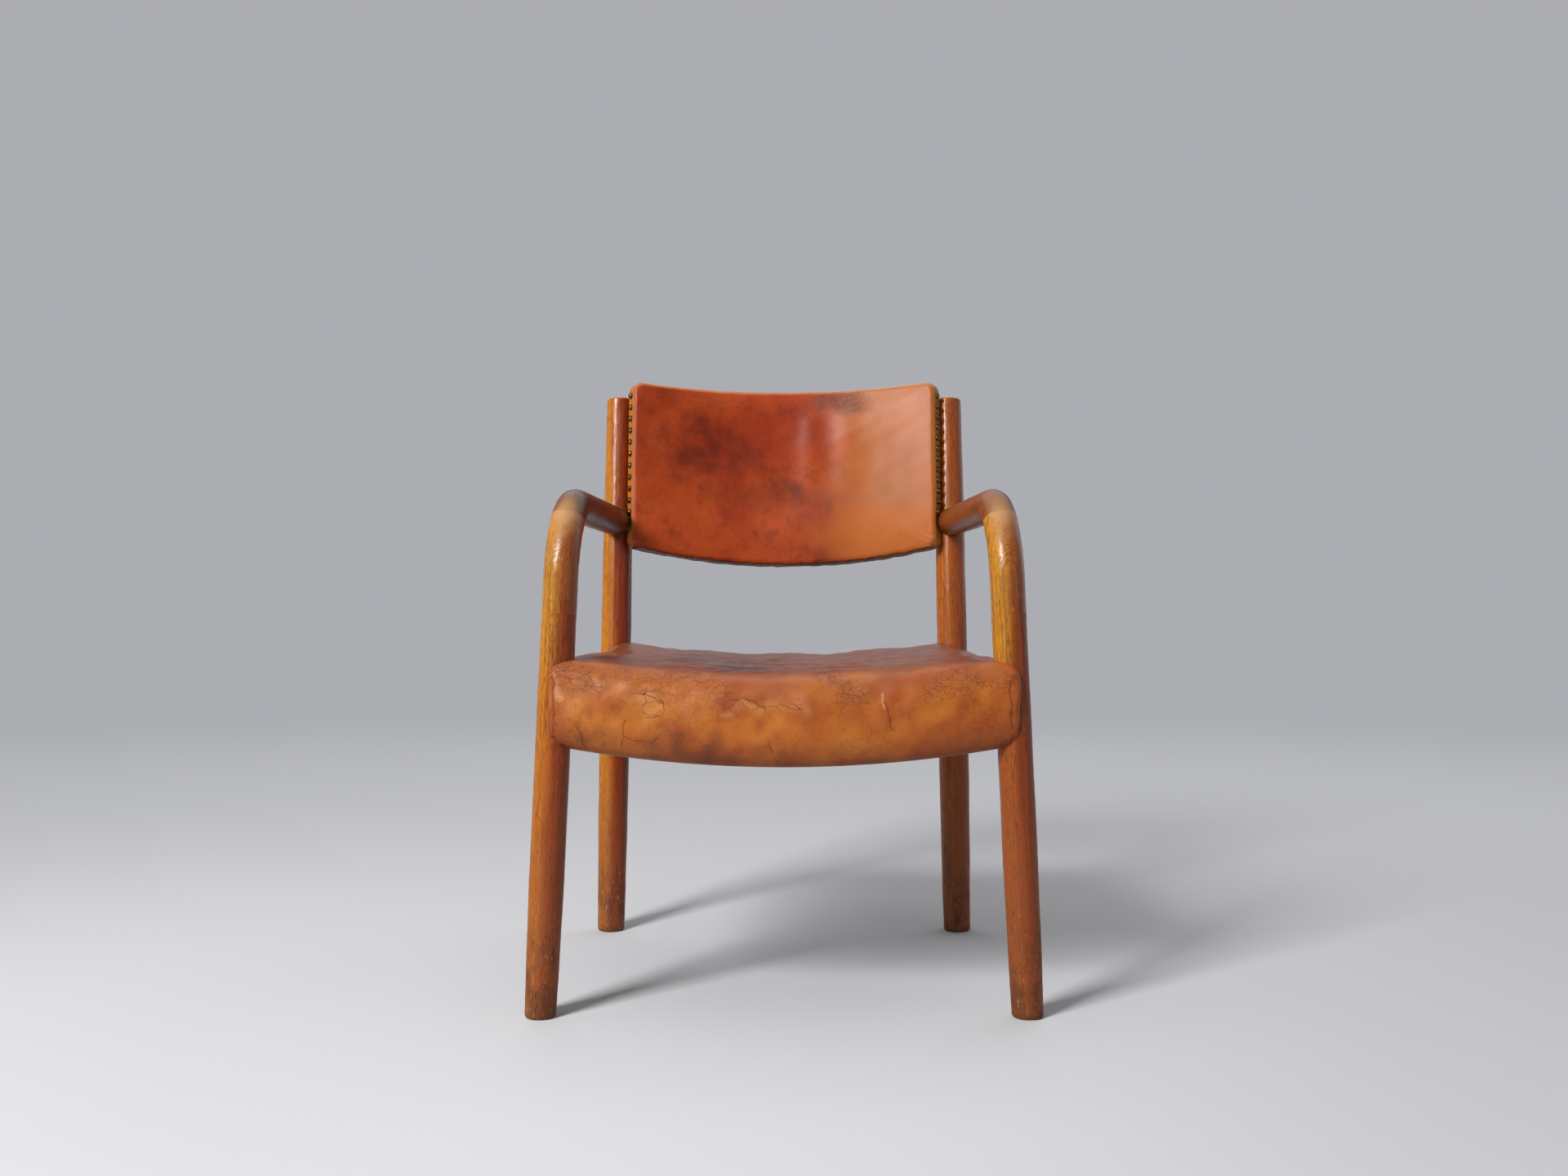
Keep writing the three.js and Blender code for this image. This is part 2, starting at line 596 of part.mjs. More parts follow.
function sideTenon(side, axis, diameter, way, y, grow = 0) {
  const x = innerFace(y) + RAIL_THICKNESS / 2;
  const middle = saddle(x) + RAIL_MIDDLE;
  const centre = pointAtHeight(axis, middle);
  const depth = entry(axis, diameter, x - side * centre.x);
  const from = vector(side * x, centre.y - way * depth, middle);
  return tenon(from, vector(0, way, 0), SIDE_TENON_LENGTH, grow);
}

const FRONT_TENON_Y = FRONT_RAIL_INNER_Y - RAIL_THICKNESS / 2;
const REAR_TENON_Y = REAR_RAIL_INNER_Y + RAIL_THICKNESS / 2;
const frontCrossTenon = (side, grow) => crossTenon(side, legAxis(side), LEG_DIAMETER, FRONT_TENON_Y, grow);
const rearCrossTenon = (side, grow) => crossTenon(
  side,
  postAxis(side),
  POST_SWELL_DIAMETER,
  REAR_TENON_Y,
  grow,
);
const frontSideTenon = (side, grow) => sideTenon(
  side,
  legAxis(side),
  LEG_DIAMETER,
  -1,
  FRONT_RAIL_INNER_Y,
  grow,
);
const rearSideTenon = (side, grow) => sideTenon(
  side,
  postAxis(side),
  POST_SWELL_DIAMETER,
  1,
  REAR_RAIL_INNER_Y,
  grow,
);

// Front and rear rails lie between the side rails' inner faces and are coped on the legs.
function frontRail() {
  const stop = pointAtHeight(legAxis(1), SEAT_BOTTOM_SIDE).x - LEG_DIAMETER / 4;
  const front = SEAT_FRONT_Y - SEAT_BOW - OVERRUN;
  const rear = FRONT_RAIL_INNER_Y;
  return railBlank
    .intersect(seatPrism([[-stop, front], [stop, front], [stop, rear], [-stop, rear]]))
    .subtract(roundCopes)
    .add(frontCrossTenon(-1))
    .add(frontCrossTenon(1));
}

function rearRail() {
  const stop = pointAtHeight(postAxis(1), SEAT_BOTTOM_SIDE).x - POST_SWELL_DIAMETER / 4;
  const front = REAR_RAIL_INNER_Y;
  const rear = SEAT_REAR_Y + OVERRUN;
  return railBlank
    .intersect(seatPrism([[-stop, front], [stop, front], [stop, rear], [-stop, rear]]))
    .subtract(roundCopes)
    .add(rearCrossTenon(-1))
    .add(rearCrossTenon(1));
}

function sideRail(side) {
  const front = FRONT_RAIL_INNER_Y + FIT;
  const rear = REAR_RAIL_INNER_Y - FIT;
  const outer = SEAT_HALF_WIDTH + OVERRUN;
  return railBlank
    .intersect(seatPrism([
      [side * innerFace(front), front],
      [side * outer, front],
      [side * outer, rear],
      [side * innerFace(rear), rear],
    ]))
    .subtract(roundCopes)
    .add(frontSideTenon(side))
    .add(rearSideTenon(side));
}

// Corner blocks: three-cornered, glued into the inner corners of the rails.
function cornerBlock(side, y, way) {
  const edge = y + way * FIT;
  const far = edge + way * BLOCK_LEG;
  const shape = new THREE.Shape([
    new THREE.Vector2(side * (innerFace(edge) - 2 * FIT), edge),
    new THREE.Vector2(side * (innerFace(edge) - BLOCK_LEG), edge),
    new THREE.Vector2(side * (innerFace(far) - 2 * FIT), far),
  ]);
  const low = saddle(innerFace(y)) + RAIL_MIDDLE - BLOCK_HEIGHT / 2;
  const block = new THREE.ExtrudeGeometry(shape, { depth: BLOCK_HEIGHT, bevelEnabled: false });
  return solid(block.translate(0, 0, low));
}

// Webbing: straps from the front rail to the rear rail, lying on both.
function strap(x) {
  return saddleSlab(
    RAIL_TOP + FIT,
    STRAP_TOP,
    x - STRAP_WIDTH / 2,
    x + STRAP_WIDTH / 2,
    FRONT_RAIL_INNER_Y - RAIL_THICKNESS / 2,
    REAR_RAIL_INNER_Y + RAIL_THICKNESS / 2,
  );
}

// The padding fills the leather from the straps up.
function seatPadding() {
  return seatForm(SEAT_LEATHER + FIT)
    .intersect(seatSlab(STRAP_TOP + FIT, SEAT_THICKNESS))
    .subtract(roundCopes);
}

// The seat's leather is a skin over the padding, turned under the rails and cut round legs and posts.
function seatCover() {
  const opening = SEAT_OUTLINE.map(({ x, y }) => {
    const wide = (SEAT_HALF_WIDTH - SEAT_TURN_UNDER) / SEAT_HALF_WIDTH;
    const deep = (SEAT_HALF_DEPTH - SEAT_TURN_UNDER) / SEAT_HALF_DEPTH;
    return [x * wide, SEAT_MIDDLE_Y + (y - SEAT_MIDDLE_Y) * deep];
  });
  const shape = new THREE.Shape(opening.map(([x, y]) => new THREE.Vector2(x, y)));
  const low = SEAT_BOTTOM_SIDE - SEAT_DIP - OVERRUN;
  const depth = SEAT_DIP + SEAT_THICKNESS / 2;
  const plug = new THREE.ExtrudeGeometry(shape, { depth, bevelEnabled: false }).translate(0, 0, low);
  return seatForm(0)
    .subtract(seatForm(SEAT_LEATHER))
    .subtract(solid(plug))
    .subtract(roundCopes);
}

// The dust cloth closes the underside inside the turned-under leather, against the rails.
function dustCloth() {
  const inset = SEAT_TURN_UNDER + FIT;
  const top = FRAME_INSET - FIT;
  const wide = (SEAT_HALF_WIDTH - inset) / SEAT_HALF_WIDTH;
  const deep = (SEAT_HALF_DEPTH - inset) / SEAT_HALF_DEPTH;
  const outline = SEAT_OUTLINE.map(({ x, y }) => [x * wide, SEAT_MIDDLE_Y + (y - SEAT_MIDDLE_Y) * deep]);
  return seatPrism(outline)
    .intersect(seatSlab(top - DUST_CLOTH_THICKNESS, top))
    .subtract(roundCopes);
}

// Back panel: built upright in a frame that leans with the posts, then bent round a vertical axis
const LEAN = Math.atan(POST_LEAN_DEPTH / POST_HEIGHT);
back.position.set(0, FOOT_DEPTH, 0);
back.rotation.x = -LEAN;
back.updateMatrix();
const intoBack = back.matrix.clone().invert();

// Depths of the panel's layers, forward of the shell's rear face
const BACK_REAR = -BACK_LEATHER - FIT;
const STILE_FRONT = BACK_SHELL + FIT + BACK_STILE;
const BACK_FRONT = STILE_FRONT + FIT + BACK_PAD_OVER_STILE + FIT + BACK_LEATHER;
const BACK_ANGLE = Math.asin(BACK_CHORD / 2 / (BACK_RADIUS - BACK_REAR));
const BACK_HALF_LENGTH = BACK_RADIUS * BACK_ANGLE;

// The rear edges of the panel lie against the posts, in front of their axes.
const postX = pointAtHeight(postAxis(1), ARM_REAR_HEIGHT).x;
const restRadius = POST_ARM_DIAMETER / 2 + FIT;
const BACK_EDGE_Y = -Math.sqrt(restRadius ** 2 - (postX - BACK_CHORD / 2) ** 2);
const BACK_CENTRE_Y = BACK_EDGE_Y - (BACK_RADIUS - BACK_REAR) * Math.cos(BACK_ANGLE);

// A point at a length along the bend, a height and a depth forward of the shell's rear face.
function bent(along, height, depth) {
  const turn = along / BACK_RADIUS;
  const radius = BACK_RADIUS - depth;
  return vector(radius * Math.sin(turn), BACK_CENTRE_Y + radius * Math.cos(turn), height);
}

// Heights along the posts: of their tops, and of the arms where they pass the panel's ends
const POST_TOP = armEnd(1).applyMatrix4(intoBack).z * POST_HEIGHT / ARM_REAR_HEIGHT;
const END_MIDDLE = bent(BACK_HALF_LENGTH, 0, (BACK_REAR + BACK_FRONT) / 2);
const ARM_PASS = (() => {
  const rear = armEnd(1).applyMatrix4(intoBack);
  const front = legAxis(1).top.applyMatrix4(intoBack);
  return rear.lerp(front, (rear.y - END_MIDDLE.y) / (rear.y - front.y)).z;
})();
const BACK_TOP = POST_TOP + BACK_ABOVE_POST;
const BACK_BOTTOM = ARM_PASS - BACK_BELOW_ARM;
const BACK_MIDDLE = (BACK_TOP + BACK_BOTTOM) / 2;
const BACK_HALF_HEIGHT = (BACK_TOP - BACK_BOTTOM) / 2;

const BACK_OUTLINE = (() => {
  const half = BACK_HALF_LENGTH;
  const shape = new THREE.Shape();
  shape.moveTo(-half + BACK_CORNER, BACK_BOTTOM);
  shape.quadraticCurveTo(0, BACK_BOTTOM - 2 * BACK_BOTTOM_BOW, half - BACK_CORNER, BACK_BOTTOM);
  shape.quadraticCurveTo(half, BACK_BOTTOM, half, BACK_BOTTOM + BACK_CORNER);
  shape.lineTo(half, BACK_TOP - BACK_CORNER);
  shape.quadraticCurveTo(half, BACK_TOP, half - BACK_CORNER, BACK_TOP);
  shape.quadraticCurveTo(0, BACK_TOP - 2 * BACK_TOP_DIP, -half + BACK_CORNER, BACK_TOP);
  shape.quadraticCurveTo(-half, BACK_TOP, -half, BACK_TOP - BACK_CORNER);
  shape.lineTo(-half, BACK_BOTTOM + BACK_CORNER);
  shape.quadraticCurveTo(-half, BACK_BOTTOM, -half + BACK_CORNER, BACK_BOTTOM);
  return shape.curves.flatMap((curve, i) => curve.getPoints(BACK_OUTLINE_STEPS[i]).slice(0, -1));
})();

function backRing(inset, depth) {
  const wide = (BACK_HALF_LENGTH - inset) / BACK_HALF_LENGTH;
  const tall = (BACK_HALF_HEIGHT - inset) / BACK_HALF_HEIGHT;
  return BACK_OUTLINE.map(({ x, y }) => bent(x * wide, BACK_MIDDLE + (y - BACK_MIDDLE) * tall, depth));
}

// A layer of the panel between two depths, with eased edges and a crown on its front. Inside the
// turned-under margin all layers share their rings, so that they stay parallel round the bend.
function backForm({ inset, rear, front, crown = 0, rearEdge = 0, frontEdge = 0 }) {
  const quarter = QUARTER_SHARES.map((share) => share * Math.PI / 2);
  const core = BACK_HALF_HEIGHT - BACK_TURN_UNDER;
  const marginShares = inset < BACK_TURN_UNDER ? [1] : [];
  const shares = [...marginShares, ...BACK_CORE_SHARES];
  const shared = (share, depth) => backRing(BACK_TURN_UNDER + core * (1 - share), depth);
  const behind = shares.toReversed().map((share) => shared(share, rear));
  const rearBend = (rearEdge > 0 ? quarter : [0]).map((turn) => backRing(
    inset + rearEdge * (1 - Math.sin(turn)),
    rear + rearEdge * (1 - Math.cos(turn)),
  ));
  const frontBend = (frontEdge > 0 ? quarter : [0]).map((turn) => backRing(
    inset + frontEdge * (1 - Math.cos(turn)),
    front - frontEdge * (1 - Math.sin(turn)),
  ));
  const ahead = shares.map((share) => shared(share, front + crown * (1 - share ** 2)));
  return solid(skin(
    [...behind, ...rearBend, ...frontBend, ...ahead],
    bent(0, BACK_MIDDLE, rear),
    bent(0, BACK_MIDDLE, front + crown),
  ));
}

// The parts of the panel beyond a stile's inner face, on one side.
function backEnd(side, grow = 0) {
  const inner = side * ((BACK_RADIUS - BACK_SHELL) * Math.sin(BACK_ANGLE) - BACK_STILE_WIDTH - grow);
  const outer = side * BACK_CHORD;
  return solid(boxBetween(
    vector(Math.min(inner, outer), BACK_EDGE_Y - BACK_CHORD, BACK_BOTTOM - BACK_CHORD),
    vector(Math.max(inner, outer), BACK_CHORD, BACK_TOP + BACK_CHORD),
  ));
}

// The arms pass the panel's ends in notches.
const armNotches = SIDES
  .map(([, side]) => solid(bow(side, FIT).applyMatrix4(intoBack)))
  .reduce((all, body) => all.add(body));

// Screws run from behind each post, through it and forward into the stile.
function screwProfile(grow, headRoom) {
  const radius = SCREW_DIAMETER / 2 + grow;
  const head = SCREW_HEAD_DIAMETER / 2 + grow;
  const tip = SCREW_LENGTH + grow;
  return [
    [0, -headRoom],
    [head, -headRoom],
    [head, 0],
    [radius, SCREW_HEAD_HEIGHT],
    [radius, tip - SCREW_DIAMETER],
    [0, tip],
  ];
}

// The screw's own axis in the leaning frame, from its head to its tip.
function screwPlace(side, height) {
  const axis = postAxis(side);
  const share = height / POST_TOP;
  const post = vector(axis.foot.x + (axis.top.x - axis.foot.x) * share, 0, height);
  const target = bent(side * (BACK_HALF_LENGTH - SCREW_EDGE_DISTANCE), height, BACK_SHELL);
  const way = target.clone().sub(post).normalize();
  const at = post.addScaledVector(way, -POST_TOP_DIAMETER / 2);
  return { at, turn: new THREE.Quaternion().setFromUnitVectors(vector(0, 0, 1), way) };
}

const SCREWS = SIDES.flatMap(([name, side]) => SCREW_SHARES.map(([level, share]) => {
  const height = ARM_PASS + (POST_TOP - ARM_PASS) * share;
  return { name: `back_screw_${name}_${level}`, ...screwPlace(side, height) };
}));
const screwBores = SCREWS
  .map(({ at, turn }) => turned(screwProfile(FIT, OVERRUN), FASTENER_SIDES)
    .applyQuaternion(turn)
    .translate(at.x, at.y, at.z));
const screwBoresInBack = screwBores.map(solid).reduce((all, bore) => all.add(bore));
const screwBoresInPosts = screwBores
  .map((bore) => solid(bore.clone().applyMatrix4(back.matrix)))
  .reduce((all, bore) => all.add(bore));

// Nails stand in a row down each end of the panel, from near its top to the arm.
function nailPlaces(name, side, pitch) {
  const first = BACK_TOP - NAIL_BELOW_TOP;
  const last = ARM_PASS + NAIL_ABOVE_ARM;
  const gaps = Math.round((first - last) / pitch);
  const way = vector(side * Math.cos(BACK_ANGLE), -Math.sin(BACK_ANGLE), 0);
  return Array.from({ length: gaps + 1 }, (_, i) => {
    const at = vector(side * END_MIDDLE.x, END_MIDDLE.y, first + (last - first) * i / gaps);
    const turn = new THREE.Quaternion().setFromUnitVectors(vector(0, 0, 1), way);
    const number = String(i + 1).padStart(2, '0');
    return { name: `nail_${name}_${number}`, at: at.addScaledVector(way, FIT), turn };
  });
}

const NAILS = [
  ...nailPlaces('left', -1, NAIL_PITCH_LEFT),
  ...nailPlaces('right', 1, NAIL_PITCH_RIGHT),
];

// A domed nail with its pin: the dome rises from a flat rim, the pin points down.
function nailGeometry() {
  const radius = NAIL_HEAD_DIAMETER / 2;
  const pin = NAIL_PIN_DIAMETER / 2;
  const profile = [
    [0, -NAIL_PIN_LENGTH],
    [pin, NAIL_PIN_DIAMETER - NAIL_PIN_LENGTH],
    [pin, 0],
    [radius, 0],
    [radius * Math.cos(Math.PI / 4), NAIL_HEAD_HEIGHT * Math.sin(Math.PI / 4)],
    [0, NAIL_HEAD_HEIGHT],
  ];
  return geometryOf(solid(turned(profile, FASTENER_SIDES)));
}

const nailBores = NAILS
  .map(({ at, turn }) => {
    const radius = NAIL_PIN_DIAMETER / 2 + FIT;
    const bore = bar(radius, -NAIL_PIN_LENGTH - FIT, OVERRUN, BORE_SIDES);
    return solid(bore.applyQuaternion(turn).translate(at.x, at.y, at.z));
  })
  .reduce((all, bore) => all.add(bore));

const SHELL_INSET = BACK_LEATHER + FIT;

function backShell() {
  return backForm({
    inset: SHELL_INSET,
    rear: 0,
    front: BACK_SHELL,
    rearEdge: BACK_REAR_EDGE - SHELL_INSET,
  })
    .subtract(armNotches)
    .subtract(screwBoresInBack);
}

function backStile(side) {
  return backForm({
    inset: SHELL_INSET,
    rear: BACK_SHELL + FIT,
    front: STILE_FRONT,
    frontEdge: BACK_FRONT_EDGE - SHELL_INSET - BACK_PAD_OVER_STILE,
  })
    .intersect(backEnd(side))
    .subtract(armNotches)
    .subtract(screwBoresInBack)
    .subtract(nailBores);
}

// The back's padding lies on the shell between the stiles and thinly over them.
function backPadding() {
  const pad = backForm({
    inset: SHELL_INSET,
    rear: BACK_SHELL + FIT,
    front: BACK_FRONT - BACK_LEATHER - FIT,
    crown: BACK_CROWN,
    frontEdge: BACK_FRONT_EDGE - BACK_LEATHER,
  });
  const stileRoom = backForm({ inset: -OVERRUN, rear: 0, front: STILE_FRONT + FIT });
  return pad
    .subtract(stileRoom.intersect(backEnd(-1, FIT)))
    .subtract(stileRoom.intersect(backEnd(1, FIT)));
}

function backCover() {
  const outer = backForm({
    inset: 0,
    rear: BACK_REAR,
    front: BACK_FRONT,
    crown: BACK_CROWN,
    rearEdge: BACK_REAR_EDGE,
    frontEdge: BACK_FRONT_EDGE,
  });
  const inner = backForm({
    inset: BACK_LEATHER,
    rear: -FIT,
    front: BACK_FRONT - BACK_LEATHER,
    crown: BACK_CROWN,
    rearEdge: BACK_REAR_EDGE - BACK_LEATHER,
    frontEdge: BACK_FRONT_EDGE - BACK_LEATHER,
  });
  const opening = backForm({ inset: BACK_TURN_UNDER, rear: BACK_REAR - OVERRUN, front: BACK_SHELL });
  return outer
    .subtract(inner)
    .subtract(opening)
    .subtract(armNotches)
    .subtract(screwBoresInBack)
    .subtract(nailBores);
}

function backLining() {
  return backForm({ inset: BACK_TURN_UNDER + FIT, rear: -FIT - LINING_THICKNESS, front: -FIT });
}

// Framework
for (const [name, side] of SIDES) {
  const leg = frontLeg(side)
    .subtract(frontCrossTenon(side, FIT))
    .subtract(frontSideTenon(side, FIT));
  const post = postBlank(side)
    .intersect(levelFoot(postAxis(side), POST_FOOT_DIAMETER))
    .subtract(armTenon(side, FIT))
    .subtract(rearCrossTenon(side, FIT))
    .subtract(rearSideTenon(side, FIT))
    .subtract(screwBoresInPosts);
  addPiece(framework, `front_leg_${name}`, leg, LEG_OAK);
  addPiece(framework, `elbow_${name}`, elbow(side), ELBOW_OAK);
  addPiece(framework, `arm_${name}`, arm(side), ARM_OAK);
  addPiece(framework, `elbow_dowel_${name}`, dowelSolid(side), FRAME_BEECH);
  addPiece(framework, `rear_post_${name}`, post, POST_OAK);
}

// Seat
addPiece(seat, 'front_rail', frontRail(), FRAME_BEECH);
addPiece(seat, 'rear_rail', rearRail(), FRAME_BEECH);
for (const [name, side] of SIDES) {
  addPiece(seat, `side_rail_${name}`, sideRail(side), FRAME_BEECH);
  addPiece(seat, `front_block_${name}`, cornerBlock(side, FRONT_RAIL_INNER_Y, 1), FRAME_BEECH);
  addPiece(seat, `rear_block_${name}`, cornerBlock(side, REAR_RAIL_INNER_Y, -1), FRAME_BEECH);
}
for (let i = 0; i < STRAP_COUNT; i += 1) {
  const x = (i - (STRAP_COUNT - 1) / 2) * STRAP_PITCH;
  addPiece(seat, `seat_strap_${i + 1}`, strap(x), WEBBING);
}
addPiece(seat, 'seat_padding', seatPadding(), WADDING);
addPiece(seat, 'seat_cover', seatCover(), SEAT_HIDE);
addPiece(seat, 'seat_dust_cloth', dustCloth(), DARK_CLOTH);

// Back
addPiece(back, 'back_shell', backShell(), PLYWOOD);
for (const [name, side] of SIDES) {
  addPiece(back, `back_stile_${name}`, backStile(side), FRAME_BEECH);
}
addPiece(back, 'back_padding', backPadding(), WADDING);
addPiece(back, 'back_cover', backCover(), BACK_HIDE);
addPiece(back, 'back_lining', backLining(), DARK_CLOTH);
const screwBody = geometryOf(solid(turned(screwProfile(0, 0), FASTENER_SIDES)));
for (const { name, at, turn } of SCREWS) {
  const screw = addPiece(back, name, screwBody, STEEL);
  screw.position.copy(at);
  screw.quaternion.copy(turn);
}
const nailBody = nailGeometry();
for (const { name, at, turn } of NAILS) {
  const nail = addPiece(back, name, nailBody, OLD_BRASS);
  nail.position.copy(at);
  nail.quaternion.copy(turn);
}

// The chair stands on z = 0 with the middle of its outline over the origin.
chair.updateMatrixWorld(true);
const middle = new THREE.Box3().setFromObject(chair, true).getCenter(vector());
chair.position.set(-middle.x, -middle.y, 0);
chair.updateMatrixWorld(true);

export default chair;
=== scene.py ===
# %% [markdown]
# # An oak armchair with a leather seat and a nailed leather back
# The chair in the photograph is a round oak frame with bent arms. It carries a thick saddle of worn
# leather and a curved back panel, nailed down both ends. A CAD model of it is already packed. This
# lesson loads that model as a fixed frame and dresses it: smooth wood, cushions that a cloth
# simulation fills, small brass nails, and finishes made of nodes.

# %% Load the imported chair
import math

import bmesh
import bpy
import numpy as np
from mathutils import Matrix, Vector


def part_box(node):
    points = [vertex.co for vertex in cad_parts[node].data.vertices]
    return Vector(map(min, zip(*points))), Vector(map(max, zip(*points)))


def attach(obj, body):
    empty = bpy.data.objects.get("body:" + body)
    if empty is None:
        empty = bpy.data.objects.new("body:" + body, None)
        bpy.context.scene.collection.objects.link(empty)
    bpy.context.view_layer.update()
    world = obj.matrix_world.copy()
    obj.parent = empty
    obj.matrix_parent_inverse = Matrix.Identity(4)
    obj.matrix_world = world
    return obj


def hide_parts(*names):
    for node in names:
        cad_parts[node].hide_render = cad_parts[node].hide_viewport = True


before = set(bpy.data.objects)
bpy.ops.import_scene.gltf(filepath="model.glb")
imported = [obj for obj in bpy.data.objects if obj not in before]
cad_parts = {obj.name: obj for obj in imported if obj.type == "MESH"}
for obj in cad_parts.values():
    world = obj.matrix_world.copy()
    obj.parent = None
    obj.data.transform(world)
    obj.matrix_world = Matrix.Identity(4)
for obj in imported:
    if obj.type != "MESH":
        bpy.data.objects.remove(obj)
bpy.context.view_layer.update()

scene = bpy.context.scene

# %% [markdown]
# ## The camera
# The photograph was taken level, from straight in front, at about the height of the seat. The four feet
# show where: two rows of feet on one floor give both the height and the distance of the lens.

# %% Set the camera
CAMERA_AT = (0.0, -2.1462, 0.5206)
SENSOR_WIDTH_MM, LENS_MM = 36.0, 34.91
camera_data = bpy.data.cameras.new("photo_camera")
camera_data.sensor_width = SENSOR_WIDTH_MM
camera_data.lens = LENS_MM
camera = bpy.data.objects.new("photo_camera", camera_data)
camera.location = CAMERA_AT
camera.rotation_euler = (math.pi / 2, 0.0, 0.0)
scene.collection.objects.link(camera)
scene.camera = camera
print("camera at", CAMERA_AT, "lens", LENS_MM)

# %% [markdown]
# ## Meshes from arrays
# Almost every piece here is a skin over rings: legs, arms, cushions and even nail heads. The rings are
# worked out as one numpy array of rings x points x 3. One helper then lays quads between neighbouring
# rings and closes both ends with a fan of triangles, so that nothing is left open.

# %% Rings and skins
def unit(vectors):
    """Vectors of length one: each vector divided by its length."""
    vectors = np.asarray(vectors, float)
    return vectors / np.linalg.norm(vectors, axis=-1, keepdims=True)


def mesh_piece(name, points, faces):
    """An object at the origin whose mesh has these points and faces, shaded smooth."""
    mesh = bpy.data.meshes.new(name)
    mesh.from_pydata(np.asarray(points).tolist(), [], faces)
    mesh.polygons.foreach_set("use_smooth", np.ones(len(mesh.polygons), bool))
    mesh.update()
    piece = bpy.data.objects.new(name, mesh)
    scene.collection.objects.link(piece)
    return piece


def points_of(mesh):
    """The points of a mesh as rows of x, y and z."""
    points = np.empty(len(mesh.vertices) * 3)
    mesh.vertices.foreach_get("co", points)
    return points.reshape(-1, 3)


def triangles(piece):
    """How many triangles the faces of a piece come to: a face of n points is n - 2 of them."""
    return sum(len(face.vertices) - 2 for face in piece.data.polygons)


def outward(rings):
    """True if the skin over the rings faces outwards: the sum of point . (ring step x around step)."""
    middle = rings.reshape(-1, 3).mean(0)
    around = np.roll(rings, -1, 1) - rings
    along = np.zeros_like(rings)
    along[:-1] = rings[1:] - rings[:-1]
    return ((rings - middle) * np.cross(around, along)).sum() > 0


def quads_between(count, around):
    """The faces between neighbouring rings, four point numbers each: two neighbours on this ring and
    the same two on the next."""
    low = np.arange(count - 1)[:, None] * around
    here = np.arange(around)
    there = np.roll(here, -1)
    return np.stack([low + here, low + there, low + around + there, low + around + here], -1).reshape(-1, 4)


def lofted(name, rings):
    """A closed skin over rings: quads between neighbours, and a fan to the middle of each end ring."""
    if not outward(rings):
        rings = rings[:, ::-1]
    count, around = rings.shape[:2]
    points = np.vstack([rings.reshape(-1, 3), rings[0].mean(0), rings[-1].mean(0)])
    here = np.arange(around)
    there = np.roll(here, -1)
    last = (count - 1) * around
    first_fan = np.stack([there, here, np.full(around, count * around)], -1)
    last_fan = np.stack([here + last, there + last, np.full(around, count * around + 1)], -1)
    faces = quads_between(count, around).tolist() + first_fan.tolist() + last_fan.tolist()
    return mesh_piece(name, points, faces)


def swept(centres, ways, radii, across, around=64):
    """Rings along a path: centre + radius * (cos t * a + sin t * b). a is `across` made square to the
    way at that point, and b is the way crossed with a."""
    ways = unit(ways)
    a = unit(across - ways * (ways @ across)[:, None])
    b = np.cross(ways, a)
    turn = 2 * np.pi * np.arange(around) / around
    spokes = np.cos(turn)[None, :, None] * a[:, None] + np.sin(turn)[None, :, None] * b[:, None]
    return centres[:, None] + radii[:, None, None] * spokes


print("faces between three rings of eight points:", len(quads_between(3, 8)))


# %% Lumps and cuts
LUMP_WAVES = 14


def lumps(points, size, seed):
    """Smooth irregular lumps of height about one, `size` metres apart: a sum of sines whose directions,
    lengths and phases are drawn from a seeded generator."""
    draw = np.random.default_rng(seed)
    stretch = draw.uniform(0.7, 1.4, (LUMP_WAVES, 1))
    waves = unit(draw.normal(size=(LUMP_WAVES, 3))) * 2 * np.pi / size * stretch
    phases = draw.uniform(0, 2 * np.pi, LUMP_WAVES)
    return np.sin(points @ waves.T + phases).sum(-1) * math.sqrt(2 / LUMP_WAVES)


def ease(low, high, values):
    """From 0 at low to 1 at high in a smooth step: 3 t^2 - 2 t^3 of the clipped share t."""
    share = np.clip((np.asarray(values, float) - low) / (high - low), 0, 1)
    return share * share * (3 - 2 * share)


def cut(piece, cutter):
    """Cuts a piece with another one, which is deleted after the result is written to the mesh."""
    modifier = piece.modifiers.new("cut", "BOOLEAN")
    modifier.operation = "DIFFERENCE"
    modifier.object = cutter
    modifier.solver = "EXACT"
    evaluated = piece.evaluated_get(bpy.context.evaluated_depsgraph_get())
    mesh = bpy.data.meshes.new_from_object(evaluated)
    piece.modifiers.clear()
    old = piece.data
    piece.data = mesh
    bpy.data.meshes.remove(old)
    bpy.data.objects.remove(cutter)
    mesh.name = piece.name


def crisp(piece, degrees=32):
    """Keeps edges sharper than an angle crisp, and shades all the rest smooth."""
    piece.data.polygons.foreach_set("use_smooth", np.ones(len(piece.data.polygons), bool))
    piece.data.set_sharp_from_angle(angle=math.radians(degrees))
    piece.data.update()


print("heights of the lumps at three places:", lumps(np.eye(3), 0.1, 1).round(2))

# %% [markdown]
# ## The lines that the wood is turned about
# The legs rise from the front feet to the corner of the elbow, and the posts from the rear feet to
# their tops. All of it is in metres, in the CAD model's own frame, so nothing has to be fitted.

# %% Axes of legs, posts and arms
SIDES = {"left": -1, "right": 1}
# Places on the right-hand side of the chair; the left-hand side mirrors them.
LEG_FOOT = np.array([0.2960, -0.29924, 0.0])
CORNER = np.array([0.2715, -0.26624, 0.628])
POST_FOOT = np.array([0.2635, 0.17076, 0.0])
POST_TOP = np.array([0.2615, 0.28376, 0.822])
ARM_REAR_HEIGHT = 0.624


def on_side(point, side):
    """The same point on the left (-1) or the right (1) of the chair."""
    return np.asarray(point, float) * np.array([side, 1, 1])


